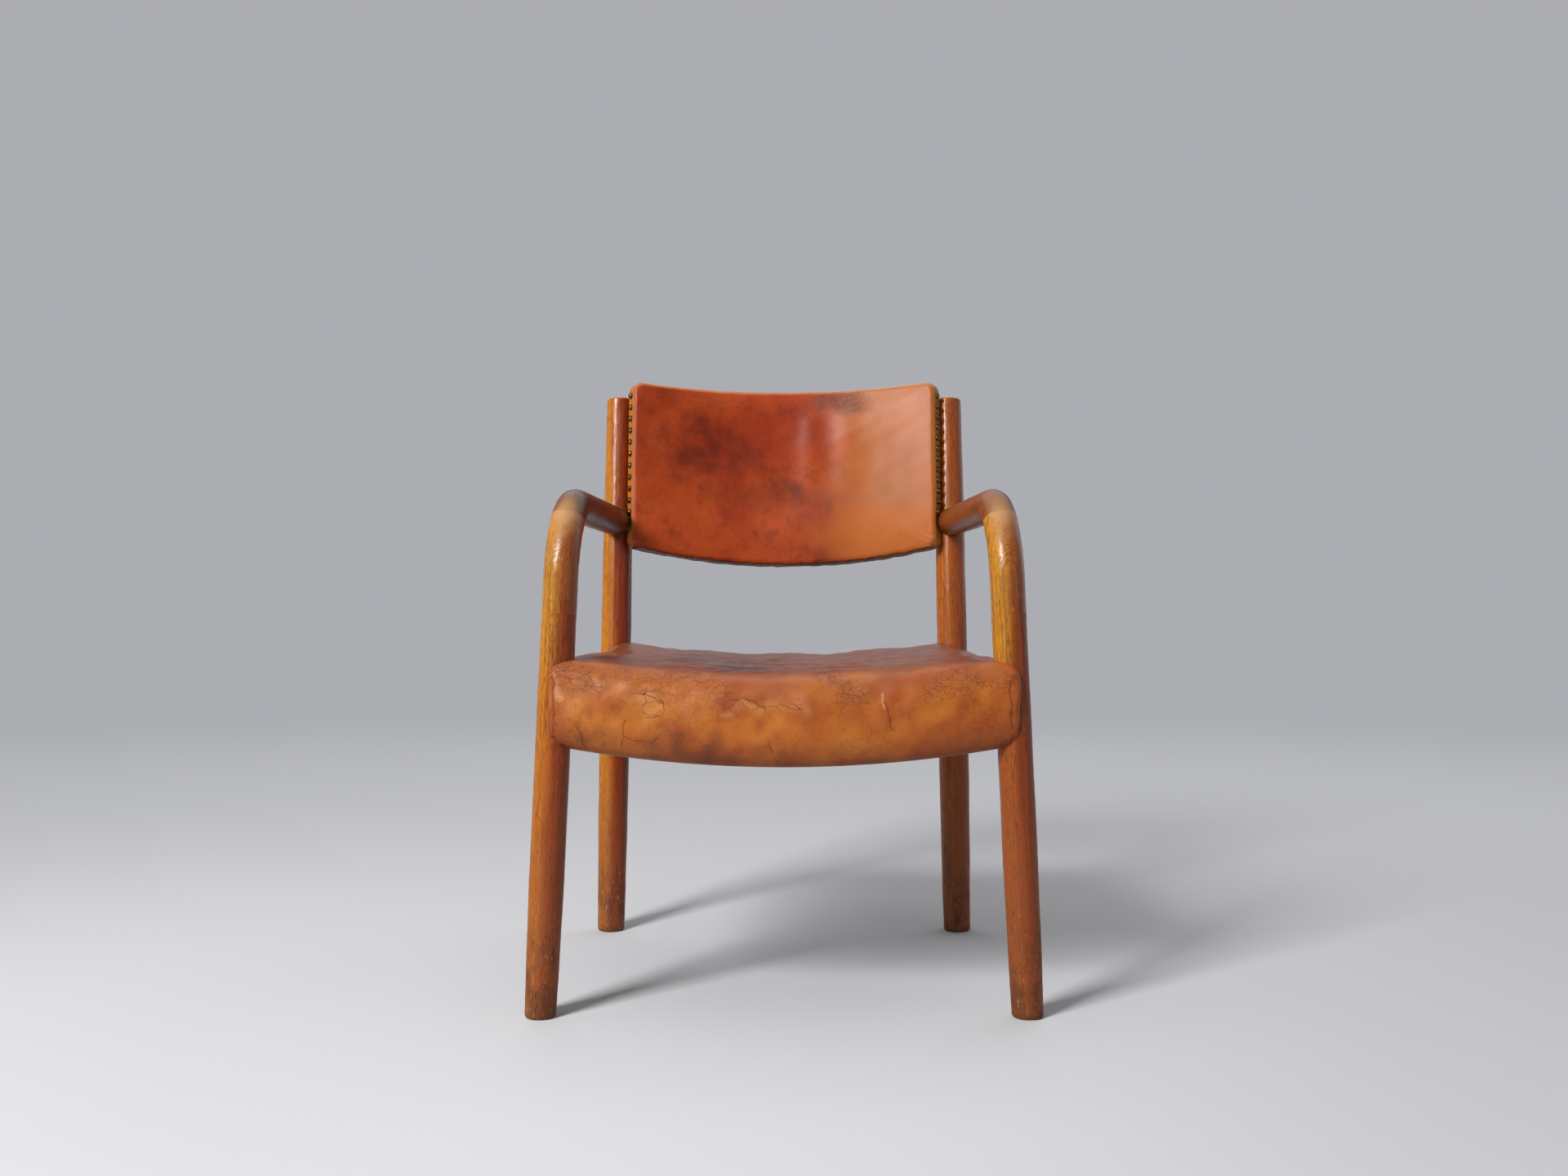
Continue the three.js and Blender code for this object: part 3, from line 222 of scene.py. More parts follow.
def at_height(foot, top, height):
    """The point of a straight axis at a height: foot + (top - foot) * height / the top's height."""
    return foot + (top - foot) * height / top[2]


ARM_END = at_height(POST_FOOT, POST_TOP, ARM_REAR_HEIGHT)
print("arm meets the post's axis at", ARM_END.round(4))

# %% [markdown]
# ## Legs and posts
# On the real chair these are turned in a lathe and then worn by use. A lathe piece is a radius as a
# function of the distance along its axis, so each is a sweep of rings. The feet are sawn level on a
# leaning leg, so the lowest rings lie flat and turn square to the axis as they rise.

# %% Turn a leaning piece
LEVEL_REACH = 0.09
FOOT_RIM = 0.004
FIRST_RING, RING_STEP = 0.008, 0.006
WEAR = 0.00012


def leaning_rings(side, foot, top, distances, radii):
    """Rings along a leaning axis. The ring's plane turns from level at the foot to square to the axis
    over the length LEVEL_REACH."""
    foot, top = on_side(foot, side), on_side(top, side)
    axis = unit(top - foot)
    centres = foot + distances[:, None] * axis
    share = ease(0.0, LEVEL_REACH, distances)[:, None]
    ways = (1 - share) * np.array([0, 0, 1.0]) + share * axis
    return swept(centres, ways, radii, np.array([1.0, 0, 0]))


def foot_rim(radius):
    """Distances and radii of a worn rim: a quarter circle of radius FOOT_RIM under the wall."""
    turn = np.linspace(0, np.pi / 2, 7)
    return FOOT_RIM * (1 - np.cos(turn)), radius - FOOT_RIM * (1 - np.sin(turn))


def worn(rings, seed):
    """Rings moved in and out from their middles by small lumps, so that turned wood isn't perfect. The
    larger lumps are drawn out along the height."""
    middle = rings.mean(1, keepdims=True)
    spread = rings - middle
    stretched = rings * np.array([1, 1, 0.35])
    move = WEAR * lumps(stretched, 0.03, seed) + 0.6 * WEAR * lumps(rings, 0.011, seed + 1)
    return middle + spread * (1 + move / np.linalg.norm(spread, axis=-1))[..., None]


print("rings of a worn rim stand at mm:", (foot_rim(FOOT_RIM)[0] * 1000).round(2))

# %% Rear posts
POST_LENGTH = float(np.linalg.norm(POST_TOP - POST_FOOT))
POST_RIM = 0.005
POST_KNOTS = np.array([[0, 0.0200], [0.350, 0.0232], [0.624, 0.0224], [POST_LENGTH - POST_RIM, 0.0205]])


def post_radius(distances):
    """The post's swell: the one cubic through four measured radii, which a lathe's curve resembles."""
    powers = np.vander(POST_KNOTS[:, 0], 4)
    return np.polyval(np.linalg.solve(powers, POST_KNOTS[:, 1]), distances)


def rear_post(name, side, grow=0.0):
    """A leaning post: worn foot, swell, and a flat top with its rim rounded."""
    rim_at, rim_radius = foot_rim(POST_KNOTS[0, 1])
    rise = np.append(np.arange(FIRST_RING, POST_LENGTH - POST_RIM, RING_STEP), POST_LENGTH - POST_RIM)
    turn = np.linspace(0, np.pi / 2, 8)[1:]
    over = POST_LENGTH - POST_RIM * (1 - np.sin(turn))
    top_radius = POST_KNOTS[3, 1] - POST_RIM * (1 - np.cos(turn))
    distances = np.concatenate([rim_at, rise, over])
    radii = np.concatenate([rim_radius, post_radius(rise), top_radius])
    rings = leaning_rings(side, POST_FOOT, POST_TOP, distances, radii + grow)
    if grow == 0:
        rings[1:-1] = worn(rings[1:-1], 51 + side)
    return lofted(name, rings)


posts = {name: rear_post(f"turned_post_{name}", side) for name, side in SIDES.items()}
print("post length:", round(POST_LENGTH, 4), "triangles:", triangles(posts["left"]))

# %% [markdown]
# ## The comb joint
# Leg and elbow meet in five straight fingers, three on the leg and two on the elbow. Such a comb is
# sawn, so it is cut here too: a few boxes side by side take the gaps out of the end of each piece. The
# boxes are placed along the leg's own axis, which leans.

# %% Cut a comb
COMB_START, COMB_LENGTH, COMB_FINGER = 0.489, 0.017, 0.0086
GAP = 0.00016
PAST_THE_WOOD, BOX_HALF_DEPTH = 0.010, 0.050


def box_faces(low, high, origin, axes):
    """Corners of a box between two places given along three axes from an origin, and its six faces."""
    pick = np.array([[i & 1, i >> 1 & 1, i >> 2 & 1] for i in range(8)])
    corners = origin + np.where(pick == 1, high, low) @ axes
    faces = [[0, 2, 3, 1], [4, 5, 7, 6], [0, 1, 5, 4], [2, 6, 7, 3], [0, 4, 6, 2], [1, 3, 7, 5]]
    return corners, np.array(faces)


def comb_cutter(side, fingers, low, high, width):
    """A cutter of one box for each finger of the comb joint, side by side across the leg's axis. The
    outermost boxes reach past the wood."""
    foot, top = on_side(LEG_FOOT, side), on_side(CORNER, side)
    up = unit(top - foot)
    across = unit(np.cross([0, 1.0, 0], up))
    axes = np.stack([across, np.cross(up, across), up])
    points, faces = [], []
    for finger in fingers:
        outer = PAST_THE_WOOD * np.sign(finger) if abs(finger) > 1 else 0
        left = finger * COMB_FINGER - width / 2 + min(outer, 0)
        right = finger * COMB_FINGER + width / 2 + max(outer, 0)
        corners, sides = box_faces(
            np.array([left, -BOX_HALF_DEPTH, low]), np.array([right, BOX_HALF_DEPTH, high]), foot, axes)
        faces += (sides + len(points) * 8).tolist()
        points.append(corners)
    return mesh_piece("comb_cutter", np.vstack(points), faces)


print("comb fingers, mm wide and long:", round(COMB_FINGER * 1000, 1), round(COMB_LENGTH * 1000, 1))


# %% Front legs
LEG_RADIUS = 0.0214
LEG_FOOT_RADIUS = 0.0192
LEG_TAPER = 0.240


def front_leg(name, side):
    """A leg: a worn foot, a taper that eases out over the length LEG_TAPER, and a comb at the top."""
    rim_at, rim_radius = foot_rim(LEG_FOOT_RADIUS)
    top = COMB_START + COMB_LENGTH
    rise = np.arange(FIRST_RING, top, RING_STEP)
    share = np.clip(rise / LEG_TAPER, 0, 1)
    radius = LEG_FOOT_RADIUS + (LEG_RADIUS - LEG_FOOT_RADIUS) * np.sin(share * np.pi / 2)
    distances = np.concatenate([rim_at, rise, [top]])
    radii = np.concatenate([rim_radius, radius, [LEG_RADIUS]])
    rings = leaning_rings(side, LEG_FOOT, CORNER, distances, radii)
    rings[1:-1] = worn(rings[1:-1], 11 + side)
    leg = lofted(f"turned_leg_{name}", rings)
    cut(leg, comb_cutter(side, (-2, 0, 2), COMB_START, top + PAST_THE_WOOD, COMB_FINGER))
    crisp(leg)
    return leg


legs = {name: front_leg(name, side) for name, side in SIDES.items()}
print("leg triangles:", triangles(legs["left"]))

# %% [markdown]
# ## Elbows and arms
# The elbow is the hard part of this chair. A short, curved blank carries the leg round; the arm's blank
# is glued on its sloping top, and both are rounded as one. So both pieces come from a single swept bow,
# cut by one glue plane. At the front the bow is straight, then it follows an arc of 100 mm, then it
# runs straight to the post, where it is hollowed out to fit round it.

# %% Sweep the bow
ELBOW_RADIUS = 0.100
ARM_REAR_RADIUS = 0.0220
LEG_RINGS, ARC_RINGS, ARM_RINGS = 10, 46, 83


def bow_path(side):
    """Centres, ways and radii: up the leg, round an arc that touches leg and arm, and back."""
    foot, corner, end = (on_side(p, side) for p in (LEG_FOOT, CORNER, ARM_END))
    up, along = unit(corner - foot), unit(end - corner)
    angle = math.acos(float(up @ along))
    start = corner - up * ELBOW_RADIUS * math.tan(angle / 2)
    inward = unit(along - up * (along @ up))
    low = foot + up * (COMB_START + GAP)
    rise = np.linspace(0, 1, LEG_RINGS, endpoint=False)[:, None]
    straight = low + (start - low) * rise
    turn = np.linspace(0, angle, ARC_RINGS)[:, None]
    arc = start + inward * ELBOW_RADIUS * (1 - np.cos(turn)) + up * ELBOW_RADIUS * np.sin(turn)
    arc_ways = up * np.cos(turn) + inward * np.sin(turn)
    run = np.linspace(0, 1, ARM_RINGS + 1)[1:, None]
    back = arc[-1] + (end - arc[-1]) * run
    centres = np.vstack([straight, arc, back])
    ways = np.vstack([np.tile(up, (LEG_RINGS, 1)), arc_ways, np.tile(along, (ARM_RINGS, 1))])
    widening = LEG_RADIUS + (ARM_REAR_RADIUS - LEG_RADIUS) * run[:, 0]
    radii = np.concatenate([np.full(LEG_RINGS + ARC_RINGS, LEG_RADIUS), widening])
    return centres, ways, radii, unit(np.cross(up, along))


def bow(name, side, grow=0.0):
    """The whole bent piece, or a thicker one that serves as a cutter."""
    centres, ways, radii, across = bow_path(side)
    rings = swept(centres, ways, radii + grow, across)
    if grow == 0:
        rings[1:] = worn(rings[1:], 31 + side)
    return lofted(name, rings)


bow_steps = np.linalg.norm(np.diff(bow_path(1)[0], axis=0), axis=1)
print("length of the bow's axis:", round(float(bow_steps.sum()), 3), "m")


# %% Saw along the glue plane
GLUE_POINT = np.array([0.2715, -0.25224, 0.618])
GLUE_TILT = np.array([-math.tan(math.radians(10)), math.tan(math.radians(25)), 1.0])


def kept_half(piece, side, above):
    """Saws a piece along the glue plane, keeps one half and closes the sawn face."""
    normal = unit(on_side(GLUE_TILT, side))
    point = on_side(GLUE_POINT, side) + normal * (GAP if above else -GAP) / 2
    work = bmesh.new()
    work.from_mesh(piece.data)
    everything = work.verts[:] + work.edges[:] + work.faces[:]
    bmesh.ops.bisect_plane(
        work, geom=everything, plane_co=point, plane_no=normal, clear_inner=above, clear_outer=not above)
    open_edges = [edge for edge in work.edges if edge.is_boundary]
    bmesh.ops.contextual_create(work, geom=open_edges)
    bmesh.ops.recalc_face_normals(work, faces=work.faces)
    work.to_mesh(piece.data)
    work.free()
    return piece


print("the glue plane faces", unit(GLUE_TILT).round(3))

# %% Elbows and arms
elbows, arms = {}, {}
for name, side in SIDES.items():
    elbows[name] = kept_half(bow(f"bent_elbow_{name}", side), side, above=False)
    comb = comb_cutter(
        side, (-1, 1), COMB_START - PAST_THE_WOOD, COMB_START + COMB_LENGTH + GAP, COMB_FINGER + 2 * GAP)
    cut(elbows[name], comb)
    arms[name] = kept_half(bow(f"round_arm_{name}", side), side, above=True)
    cut(arms[name], rear_post("post_cutter", side, grow=GAP))
for piece in [*elbows.values(), *arms.values()]:
    crisp(piece)
print("arm box:", [tuple(round(x, 4) for x in corner) for corner in arms["left"].bound_box][0::6])

# %% [markdown]
# ## The shape of the seat
# The seat is a thick pad of leather over padding, drawn over a frame whose underside hangs like a
# saddle. Its form is a plan outline times a section: the outline gives a point round the edge, the
# section gives how far in and how high. The same two functions serve a coarse cloth and the fine
# final skin, so what the simulation moves can be carried over exactly.

# %% Outline of the seat
SEAT_HALF_WIDTH, SEAT_REAR_HALF_WIDTH = 0.285, 0.268
SEAT_FRONT_Y, SEAT_REAR_Y = -0.3087, 0.2414
SEAT_BOW, SEAT_CORNER, SEAT_FRONT_CORNER = 0.015, 0.014, 0.010
SEAT_MIDDLE_Y = (SEAT_FRONT_Y + SEAT_REAR_Y) / 2
SEAT_HALF_DEPTH = (SEAT_REAR_Y - SEAT_FRONT_Y) / 2


def bent_line(start, control, end, count):
    """A parabola from start towards end: (1-t)^2 start + 2t(1-t) control + t^2 end, end left out."""
    t = np.linspace(0, 1, count, endpoint=False)[:, None]
    return (1 - t) ** 2 * np.array(start) + 2 * t * (1 - t) * np.array(control) + t ** 2 * np.array(end)


def outline_of(lines, coarse):
    """An outline of parabolas, each with its own number of points, or with fewer for a coarse one."""
    return np.vstack([
        bent_line(start, control, end, count // coarse) for start, control, end, count in lines])


def seat_outline(coarse=1):
    """The plan, anticlockwise: a bowed front, sides that draw in, a straight rear and round corners."""
    w, v, c, f = SEAT_HALF_WIDTH, SEAT_REAR_HALF_WIDTH, SEAT_CORNER, SEAT_FRONT_CORNER
    low, high = SEAT_FRONT_Y, SEAT_REAR_Y
    lines = [
        ((-w + f, low), (0, low - 2 * SEAT_BOW), (w - f, low), 156),
        ((w - f, low), (w, low), (w, low + f), 12),
        ((w, low + f), ((w + v) / 2, (low + f + high - c) / 2), (v, high - c), 120),
        ((v, high - c), (v, high), (v - c, high), 8),
        ((v - c, high), (0, high), (c - v, high), 144),
        ((c - v, high), (-v, high), (-v, high - c), 8),
        ((-v, high - c), (-(w + v) / 2, (low + f + high - c) / 2), (-w, low + f), 120),
        ((-w, low + f), (-w, low), (-w + f, low), 12),
    ]
    return outline_of(lines, coarse)


print("points round the seat:", len(seat_outline()), "and coarse:", len(seat_outline(4)))

# %% Section of the seat
SEAT_THICKNESS, SEAT_CROWN = 0.112, 0.004
SEAT_TOP_EDGE, SEAT_BOTTOM_EDGE, SEAT_BULGE = 0.026, 0.014, 0.0015
SEAT_SIDE_BOTTOM, SEAT_DIP = 0.329, 0.025
# Rows of inset, height and share, where the underside steps down from the cloth to the leather
SEAT_STEP = np.array([[0.0186, 0.0028, 1], [0.0180, 0.0012, 1], [0.0170, 0.0, 1]])
SEAT_CLOTH_INSET, SEAT_CLOTH_HEIGHT = 0.0195, 0.0032


def section_of(*pieces):
    """A section as rows of inset, height and share of the outline, from lists of all three."""
    return np.vstack([np.stack(np.broadcast_arrays(*map(np.asarray, piece)), -1) for piece in pieces])


def quarter(count):
    """Angles of a quarter turn, the first one left out."""
    return np.linspace(0, np.pi / 2, count + 1)[1:]


def seat_section():
    """From the middle of the underside out, round the bottom edge, up the wall and over the top. The
    underside is let in by 3 mm inside the turned-under leather, where the dust cloth lies."""
    inner = np.linspace(0.006, 1, 12)
    turn = quarter(9)
    wall = np.linspace(0, 1, 27)[1:]
    wall_low, wall_high = SEAT_BOTTOM_EDGE, SEAT_THICKNESS - SEAT_CROWN - SEAT_TOP_EDGE
    top_turn = quarter(15)
    share = np.linspace(1, 0.006, 57)[1:]
    return section_of(
        (SEAT_CLOTH_INSET, SEAT_CLOTH_HEIGHT, inner),
        SEAT_STEP.T,
        (SEAT_BOTTOM_EDGE * (1 - np.sin(turn)), SEAT_BOTTOM_EDGE * (1 - np.cos(turn)), 1),
        (-SEAT_BULGE * np.sin(np.pi * wall), wall_low + (wall_high - wall_low) * wall, 1),
        (SEAT_TOP_EDGE * (1 - np.cos(top_turn)), wall_high + SEAT_TOP_EDGE * np.sin(top_turn), 1),
        (SEAT_TOP_EDGE, SEAT_THICKNESS - SEAT_CROWN * share ** 2, share),
    )


def saddle(x):
    """Height of the underside: it hangs by SEAT_DIP in the middle, as a parabola."""
    return SEAT_SIDE_BOTTOM - SEAT_DIP * (1 - (x / SEAT_HALF_WIDTH) ** 2)


def drawn_in(outline, section, middle, half_x, half_y):
    """The outline about its middle, drawn in by each row's inset and then scaled by its share."""
    inset, share = section[:, :1], section[:, 2:]
    x = outline[:, 0] * share * (half_x - inset) / half_x
    y = middle + (outline[:, 1] - middle) * share * (half_y - inset) / half_y
    return x, y


def seat_rings(outline, section):
    """Each ring is the outline drawn in, lifted to the saddle plus the row's height."""
    x, y = drawn_in(outline, section, SEAT_MIDDLE_Y, SEAT_HALF_WIDTH, SEAT_HALF_DEPTH)
    return np.stack([x, y, saddle(x) + section[:, 1:2]], -1)


print("rows of the seat's section:", len(seat_section()))

# %% [markdown]
# ## Filling the cushions
# A pad looks stuffed when its skin is pressed outwards and held back where it is tacked. That is what a
# cloth simulation with air pressure does. The cloth is coarse, its tacked points are held, and it runs
# for twenty frames with gravity off. Its movement is limited to a few millimetres and then spread over
# the fine skin with smooth curves through the coarse points.

# %% Press a coarse cloth outwards
AIR_PRESSURE, AIR_FRAMES = 4.0, 20


def calmed(field, passes):
    """A field on rings without its sharpest creases: each value becomes the mean of itself and its
    four neighbours, as many times as there are passes."""
    for _ in range(passes):
        padded = np.concatenate([field[:1], field, field[-1:]])
        field = (field + np.roll(field, 1, 1) + np.roll(field, -1, 1) + padded[:-2] + padded[2:]) / 5
    return field


def filled(rings, held, share, cap, passes=1):
    """How far air moves each point of a closed cloth whose held points are tacked down. A movement m
    becomes m * cap / (cap + |m|), so none is longer than the cap. Towards the middle, where the rings
    close up, each ring moves as one, so that no crease runs through it."""
    facing = outward(rings)
    ordered = rings if facing else rings[:, ::-1]
    held = held if facing else held[:, ::-1]
    cloth = lofted("coarse_cloth", ordered)
    group = cloth.vertex_groups.new(name="held")
    count = ordered.shape[0] * ordered.shape[1]
    group.add(np.flatnonzero(held.ravel()).tolist() + [count, count + 1], 1.0, "REPLACE")
    air = cloth.modifiers.new("air", "CLOTH")
    air.settings.use_pressure = True
    air.settings.uniform_pressure_force = AIR_PRESSURE
    air.settings.vertex_group_mass = "held"
    air.settings.effector_weights.gravity = 0.0
    air.settings.tension_stiffness = 25
    air.settings.compression_stiffness = 25
    air.settings.bending_stiffness = 2.0
    air.settings.quality = 6
    air.collision_settings.use_collision = False
    air.point_cache.frame_start, air.point_cache.frame_end = 1, AIR_FRAMES
    for number in range(1, AIR_FRAMES + 1):
        scene.frame_set(number)
    points = points_of(cloth.evaluated_get(bpy.context.evaluated_depsgraph_get()).to_mesh())
    scene.frame_set(1)
    bpy.data.objects.remove(cloth)
    move = points[:count].reshape(ordered.shape) - ordered
    move = move if facing else move[:, ::-1]
    length = np.linalg.norm(move, axis=-1, keepdims=True)
    print("cloth points:", count, "furthest mm:", round(float(length.max()) * 1000, 1))
    move = calmed(move * cap / (cap + length), passes)
    inner = ease(0.45, 0.15, share)[:, None, None]
    return (1 - inner) * move + inner * move.mean(1, keepdims=True)


# %% Spread the movement over the fine skin
AROUND_STEP, ALONG_STEP = 4, 3


def curve_weights(factor):
    """Weights of the four neighbours for points between two: the curve through all points whose
    slope at each is half the step from the one before to the one after."""
    t = (np.arange(factor) / factor)[:, None]
    weights = [-t + 2 * t**2 - t**3, 2 - 5 * t**2 + 3 * t**3, t + 4 * t**2 - 3 * t**3, t**3 - t**2]
    return 0.5 * np.hstack(weights)


def finer(field, factor, closed):
    """A field on coarse rows given at `factor` times as many rows, by smooth curves through them. A
    closed field runs on from its last row to its first, and an open one ends with its last row."""
    if closed:
        near = np.stack([np.roll(field, shift, 0) for shift in (1, 0, -1, -2)])
    else:
        padded = np.concatenate([field[:1], field, field[-1:], field[-1:]])
        near = np.stack([padded[k:k + len(field)] for k in range(4)])
    fine = np.einsum("fk,knc...->nfc...", curve_weights(factor), near).reshape(-1, *field.shape[1:])
    return fine if closed else fine[:(len(field) - 1) * factor + 1]


def spread_out(move):
    """A coarse movement given at every point of the fine skin, first along the section, then around."""
    move = finer(move, ALONG_STEP, closed=False)
    return np.swapaxes(finer(np.swapaxes(move, 0, 1), AROUND_STEP, closed=True), 0, 1)


print("weights halfway between two points:", curve_weights(2)[1])

# %% The air in the seat
SEAT_AIR_CAP = 0.004
TACKED_BELOW = 0.004
TACKED_ROUND_LEG, TACKED_ROUND_POST = LEG_RADIUS + 0.004, 0.027


def near_axis(points, foot, top, side):
    """Distance of each point from a leaning axis."""
    foot, top = on_side(foot, side), on_side(top, side)
    way = unit(top - foot)
    offset = points - foot
    return np.linalg.norm(offset - (offset @ way)[..., None] * way, axis=-1)


def seat_movement(fine_section):
    """The air's movement of the seat, worked out on every fourth point of every third ring."""
    section = fine_section[::ALONG_STEP]
    coarse = seat_rings(seat_outline(AROUND_STEP), section)
    held = np.zeros(coarse.shape[:2], bool)
    held[section[:, 1] < TACKED_BELOW] = True
    for side in SIDES.values():
        held |= near_axis(coarse, LEG_FOOT, CORNER, side) < TACKED_ROUND_LEG
        held |= near_axis(coarse, POST_FOOT, POST_TOP, side) < TACKED_ROUND_POST
    return spread_out(filled(coarse, held, section[:, 2], cap=SEAT_AIR_CAP))


seat_moved = seat_movement(seat_section())
print("the air moves the seat's skin by up to mm:", round(float(np.abs(seat_moved).max()) * 1000, 2))


# %% Shape the seat cushion
def seat_shape():
    """The seat's rings: its form, the air's movement, and what years of sitting did to the leather. The
    top sinks in the middle and rises to the rear, is wrinkled from front to back, and the leather is
    gathered under the front corners."""
    rings = seat_rings(seat_outline(), seat_section()) + seat_moved
    x, y, z = np.moveaxis(rings, -1, 0)
    over = z - saddle(x)
    top = ease(0.085, 0.108, over)
    wall = ease(0.004, 0.02, over) * (1 - top)
    skin_out = 0.0008 * lumps(rings, 0.09, 3) + 0.00035 * lumps(rings, 0.03, 4)
    hollow = 0.004 * np.exp(-(x / 0.17) ** 2 - ((y + 0.05) / 0.15) ** 2)
    rise = 0.0045 * ease(0.05, 0.21, y)
    wrinkled = ease(-0.25, -0.15, y) * ease(0.20, 0.08, y)
    wrinkles = 0.0011 * lumps(rings * np.array([1.0, 0.35, 0.0]), 0.075, 6) * wrinkled
    corner = ease(0.258, 0.284, np.abs(x)) * ease(-0.262, -0.295, y) * ease(0.036, 0.0, over)
    gathers = 0.0062 * corner * (1 + 0.45 * np.sin(np.abs(x) * 2 * np.pi / 0.011))
    rings[..., 2] += top * (rise - hollow + skin_out + wrinkles) + gathers
    rings[..., 1] -= ease(-0.27, -0.30, y) * wall * skin_out
    rings[..., 0] += np.sign(x) * ease(0.26, 0.275, np.abs(x)) * wall * skin_out
    return rings


seat_cushion = lofted("leather_seat", seat_shape())
print("seat points:", len(seat_cushion.data.vertices))

# %% Notch the seat round the legs and posts
SEAT_GAP = 0.0006


def leg_cutter(side, gap):
    """A round bar along a front leg's axis, wider than the leg by a gap all round."""
    foot, top = on_side(LEG_FOOT, side), on_side(CORNER, side)
    ways = np.tile(top - foot, (2, 1))
    radii = np.full(2, LEG_RADIUS + gap)
    return lofted("notch_cutter", swept(np.stack([foot, top]), ways, radii, np.array([1.0, 0, 0])))


def notched(piece, gap):
    """Cuts the room for all four legs and posts out of a piece, with a gap round them."""
    for side in SIDES.values():
        cut(piece, leg_cutter(side, gap))
        cut(piece, rear_post("notch_cutter", side, grow=gap))
    crisp(piece, 40)


notched(seat_cushion, SEAT_GAP)
print("seat triangles:", triangles(seat_cushion))

# %% [markdown]
# ## The back panel
# The back is a thin padded shell bent round the sitter. It is shaped flat, as an outline with rounded
# corners times a section of its depth, and then bent round a vertical axis and leaned back with the
# posts. Its ends are square, covered in leather and set with nails.

# %% The back's own frame
LEAN = math.atan((POST_TOP[1] - POST_FOOT[1]) / POST_TOP[2])
BACK_RADIUS, BACK_HALF_WIDTH = 0.560, 0.247
BACK_REAR, BACK_FRONT = -0.0025, 0.0243
BACK_REAR_RADIUS = BACK_RADIUS - BACK_REAR
BACK_ANGLE = math.asin(BACK_HALF_WIDTH / BACK_REAR_RADIUS)
BACK_HALF_LENGTH = BACK_RADIUS * BACK_ANGLE
# The panel's rear edges lie against the posts, which have this radius there.
REST_RADIUS = 0.0227
BACK_EDGE_Y = -math.sqrt(REST_RADIUS**2 - (ARM_END[0] - BACK_HALF_WIDTH) ** 2)
BACK_CENTRE_Y = BACK_EDGE_Y - BACK_REAR_RADIUS * math.cos(BACK_ANGLE)
BACK_BOTTOM, BACK_TOP = 0.5833, 0.8497
BACK_MIDDLE, BACK_HALF_HEIGHT = (BACK_BOTTOM + BACK_TOP) / 2, (BACK_TOP - BACK_BOTTOM) / 2
BACK_CORNER, BACK_BOTTOM_BOW, BACK_TOP_DIP = 0.018, 0.019, 0.003
BACK_REAR_EDGE, BACK_FRONT_EDGE, BACK_CROWN = 0.004, 0.007, 0.005


def leaned(points):
    """From the back's upright frame to the chair's: turned back by LEAN about the rear feet's line."""
    points = np.asarray(points, float)
    y, z = points[..., 1], points[..., 2]
    cos, sin = math.cos(LEAN), math.sin(LEAN)
    return np.stack([points[..., 0], POST_FOOT[1] + y * cos + z * sin, z * cos - y * sin], -1)


def bent(along, height, depth):
    """A point at a length along the bend, a height, and a depth forward of the shell's rear face: an
    arc of radius BACK_RADIUS - depth."""
    turn = along / BACK_RADIUS
    radius = BACK_RADIUS - depth
    x, y = radius * np.sin(turn), BACK_CENTRE_Y + radius * np.cos(turn)
    return np.stack(np.broadcast_arrays(x, y, height), -1)


print("the back leans by", round(math.degrees(LEAN), 2), "degrees")
print("laid flat it is", round(2 * BACK_HALF_LENGTH, 4), "m long")


# %% Outline and section of the back
def back_outline(coarse=1):
    """The panel laid flat: a bowed bottom, straight ends, a top that dips a little, round corners."""
    h, c, low, high = BACK_HALF_LENGTH, BACK_CORNER, BACK_BOTTOM, BACK_TOP
    lines = [
        ((-h + c, low), (0, low - 2 * BACK_BOTTOM_BOW), (h - c, low), 160),
        ((h - c, low), (h, low), (h, low + c), 16),
        ((h, low + c), (h, (low + high) / 2), (h, high - c), 120),
        ((h, high - c), (h, high), (h - c, high), 16),
        ((h - c, high), (0, high - 2 * BACK_TOP_DIP), (c - h, high), 160),
        ((c - h, high), (-h, high), (-h, high - c), 16),
        ((-h, high - c), (-h, (low + high) / 2), (-h, low + c), 120),
        ((-h, low + c), (-h, low), (-h + c, low), 16),
    ]
    return outline_of(lines, coarse)


# Rows of inset, depth and share, where the rear steps from the lining to the turned-under leather
BACK_STEP = np.array([[0.0184, -0.0004, 1], [0.0180, -0.0016, 1], [0.0172, -0.0025, 1]])
BACK_LINING_INSET, BACK_LINING_DEPTH = 0.0190, -0.0001


def back_section():
    """From the middle of the rear out, round the rear edge, over the end and onto the front. The rear
    is let in inside the turned-under leather, where the lining lies."""
    inner = np.linspace(0.008, 1, 10)
    flat = np.linspace(BACK_STEP[-1, 0], BACK_REAR_EDGE, 4)[1:]
    turn, front_turn = quarter(6), quarter(9)
    wall = np.linspace(0, 1, 10)[1:]
    wall_low, wall_high = BACK_REAR + BACK_REAR_EDGE, BACK_FRONT - BACK_FRONT_EDGE
    share = np.linspace(1, 0.008, 43)[1:]
    return section_of(
        (BACK_LINING_INSET, BACK_LINING_DEPTH, inner),
        BACK_STEP.T,
        (flat, BACK_REAR, 1),
        (BACK_REAR_EDGE * (1 - np.sin(turn)), BACK_REAR + BACK_REAR_EDGE * (1 - np.cos(turn)), 1),
        (0.0, wall_low + (wall_high - wall_low) * wall, 1),
        (BACK_FRONT_EDGE * (1 - np.cos(front_turn)), wall_high + BACK_FRONT_EDGE * np.sin(front_turn), 1),
        (BACK_FRONT_EDGE, BACK_FRONT + BACK_CROWN * (1 - share**2), share),
    )


